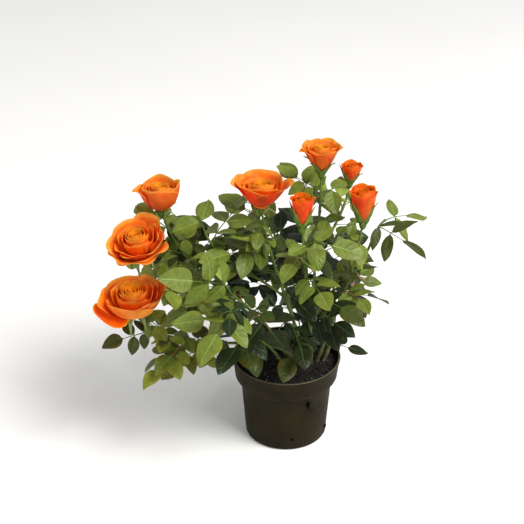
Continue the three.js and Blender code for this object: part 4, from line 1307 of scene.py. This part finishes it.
specks = np.random.default_rng(23)
pot_dirt = finish(
    "pot_dirt", (3, 3, 2), (9, 7, 5), scale=300, rough=(0.9, 1), bump=0.6, bump_scale=1200,
    Specular_IOR_Level=0.05,
)
pot_skin = dict(bump=0.12, bump_scale=900)
pot_rim = finish("pot_rim", (66, 58, 40), (92, 83, 62), scale=60, rough=(0.45, 0.6), **pot_skin)
pot_finish = finish(
    "pot", (19, 15, 2), (35, 28, 7), scale=34, rough=(0.5, 0.75), Specular_IOR_Level=0.1, **pot_skin
)
dirt_mesh = Gathered()
for turn, up, count, spread, size in POT_DIRT:
    for _ in range(count):
        at = math.radians(turn + specks.normal(0, spread))
        height = min(up + specks.normal(0, 1.5), SHOULDER_BOTTOM - 2) if up < SHOULDER_BOTTOM else up
        crumb(dirt_mesh, pot_wall(at, max(2, height)), size * specks.uniform(0.5, 1.1), 0, specks)
dirt_mesh.make("pot_specks", [pot_dirt], "pot", ["pot"])
pot = pot_mesh.make("pot_shell", [pot_finish, pot_rim], "pot", ["pot"])
drill(pot)

# ---- Soil ----

random = np.random.default_rng(11)
soil = Gathered()
SOIL_RINGS, SOIL_STEPS, SIDE_STEPS = 60, 180, 48
# Kept clear of the pot's wall at the top and further down.
TOP_CLEAR, SIDE_CLEAR = 0.6, 0.4
# The slope of the collar's inside, from its lower to its upper corner.
COLLAR_SLOPE = 3.5 / 20.5
# Unevenness: the length of its waves, their depth and a seed.
SOIL_WAVES = ((9, 1.0, 3), (3.2, 0.8, 5), (1.5, 0.5, 7))
WAVES = 26
# Crumbs: count, least and largest size, material.
CRUMBS = ((2600, 0.5, 1.5, 0), (700, 0.5, 1.3, 1), (90, 0.35, 0.75, 2))

edge_z = SOIL_TOP - SOIL_SINK
edge_radius = COLLAR_RADIUS - WALL + COLLAR_SLOPE * (edge_z - COLLAR_BOTTOM) - TOP_CLEAR


def soil_level(out):
    """The height of the soil at a distance from the middle."""
    sunk = (out - SOIL_FLAT_RADIUS) / (edge_radius - SOIL_FLAT_RADIUS)
    return SOIL_TOP - SOIL_SINK * np.clip(sunk, 0, 1)


outs = np.linspace(0.2, edge_radius, SOIL_RINGS)
out, turn = np.meshgrid(outs, ring_of(SOIL_STEPS), indexing="ij")
x, y, z = out * np.cos(turn), out * np.sin(turn), soil_level(out)
for size, depth, seed in SOIL_WAVES:
    bumps = np.random.default_rng(seed)
    for _ in range(WAVES):
        way = bumps.uniform(0, 2 * np.pi)
        wave = 2 * np.pi / size * bumps.uniform(0.6, 1.4)
        along = wave * (x * np.cos(way) + y * np.sin(way)) + bumps.uniform(0, 6.3)
        z = z + depth / WAVES**0.5 * np.sin(along)
soil.add(np.stack([x, y, z], -1), grid_faces(SOIL_RINGS, SOIL_STEPS, closed=True), 0)
side_profile = [
    (edge_radius, edge_z - 1), (SHOULDER_RADIUS - WALL - SIDE_CLEAR, SHOULDER_BOTTOM + 0.8),
    (BASE_RADIUS - WALL - SIDE_CLEAR, FLOOR + 0.3), (0.1, FLOOR + 0.3),
]
side_faces = grid_faces(len(side_profile), SIDE_STEPS, closed=True)
soil.add(lathe(side_profile, SIDE_STEPS), side_faces, 0)
for count, low, high, mark in CRUMBS:
    for _ in range(count):
        out = (edge_radius - 1.5) * random.uniform(0, 1) ** 0.5
        turn = random.uniform(0, 2 * np.pi)
        z = soil_level(out) + random.uniform(-0.2, 0.8)
        place = np.array([out * math.cos(turn), out * math.sin(turn), z])
        crumb(soil, place, random.uniform(low, high), mark, random)
crumbly = dict(scale=300, rough=(0.85, 1), bump=0.8, bump_scale=1200)
soil_materials = [
    finish("soil_dark", (7, 6, 4), (20, 16, 12), **crumbly),
    finish("soil_brown", (27, 21, 15), (46, 36, 26), **crumbly),
    finish("soil_fleck", (150, 142, 128), (190, 182, 168), scale=300, rough=(0.8, 1)),
]
soil.make("soil_bed", soil_materials, "soil", ["soil"])

# ---- Floor, light and camera ----

bpy.ops.mesh.primitive_plane_add(size=6, location=(0, 0, -0.0005))
floor = bpy.context.object
floor.name = "floor"
pale = dict(scale=3, rough=(0.7, 0.8), bump=0.02, bump_scale=60)
floor.data.materials.append(finish("floor", (247, 247, 246), (250, 250, 249), **pale))

world = bpy.data.worlds.new("studio")
bpy.context.scene.world = world
world.use_nodes = True
sky = world.node_tree.nodes["Background"]
sky.inputs["Color"].default_value = (1, 1, 1, 1)
sky.inputs["Strength"].default_value = 0.55


def lamp(name, place, target, size, power, colour=(1, 1, 1)):
    light = bpy.data.lights.new(name, "AREA")
    light.size = size
    light.energy = power
    light.color = colour
    holder = bpy.data.objects.new(name, light)
    holder.location = place
    holder.rotation_euler = (Vector(target) - Vector(place)).to_track_quat("-Z", "Y").to_euler()
    bpy.context.scene.collection.objects.link(holder)


lamp("key", (1.2, -0.95, 2.0), (0, 0, 0.18), 1.4, 78, (1, 0.98, 0.94))
lamp("fill", (-1.6, -1.2, 0.9), (0, 0, 0.15), 1.2, 6)

ELEVATION = math.radians(29.31)
DISTANCE = 1.6
AIM = Vector((-0.0269, 0, 0.2145))
camera = bpy.data.objects.new("camera", bpy.data.cameras.new("camera"))
camera.data.lens = 102.9
camera.data.sensor_width = 36
camera.location = AIM + DISTANCE * Vector((0, -math.cos(ELEVATION), math.sin(ELEVATION)))
camera.rotation_euler = (math.pi / 2 - ELEVATION, 0, 0)
bpy.context.scene.collection.objects.link(camera)
bpy.context.scene.camera = camera
bpy.context.scene.view_settings.view_transform = "Standard"
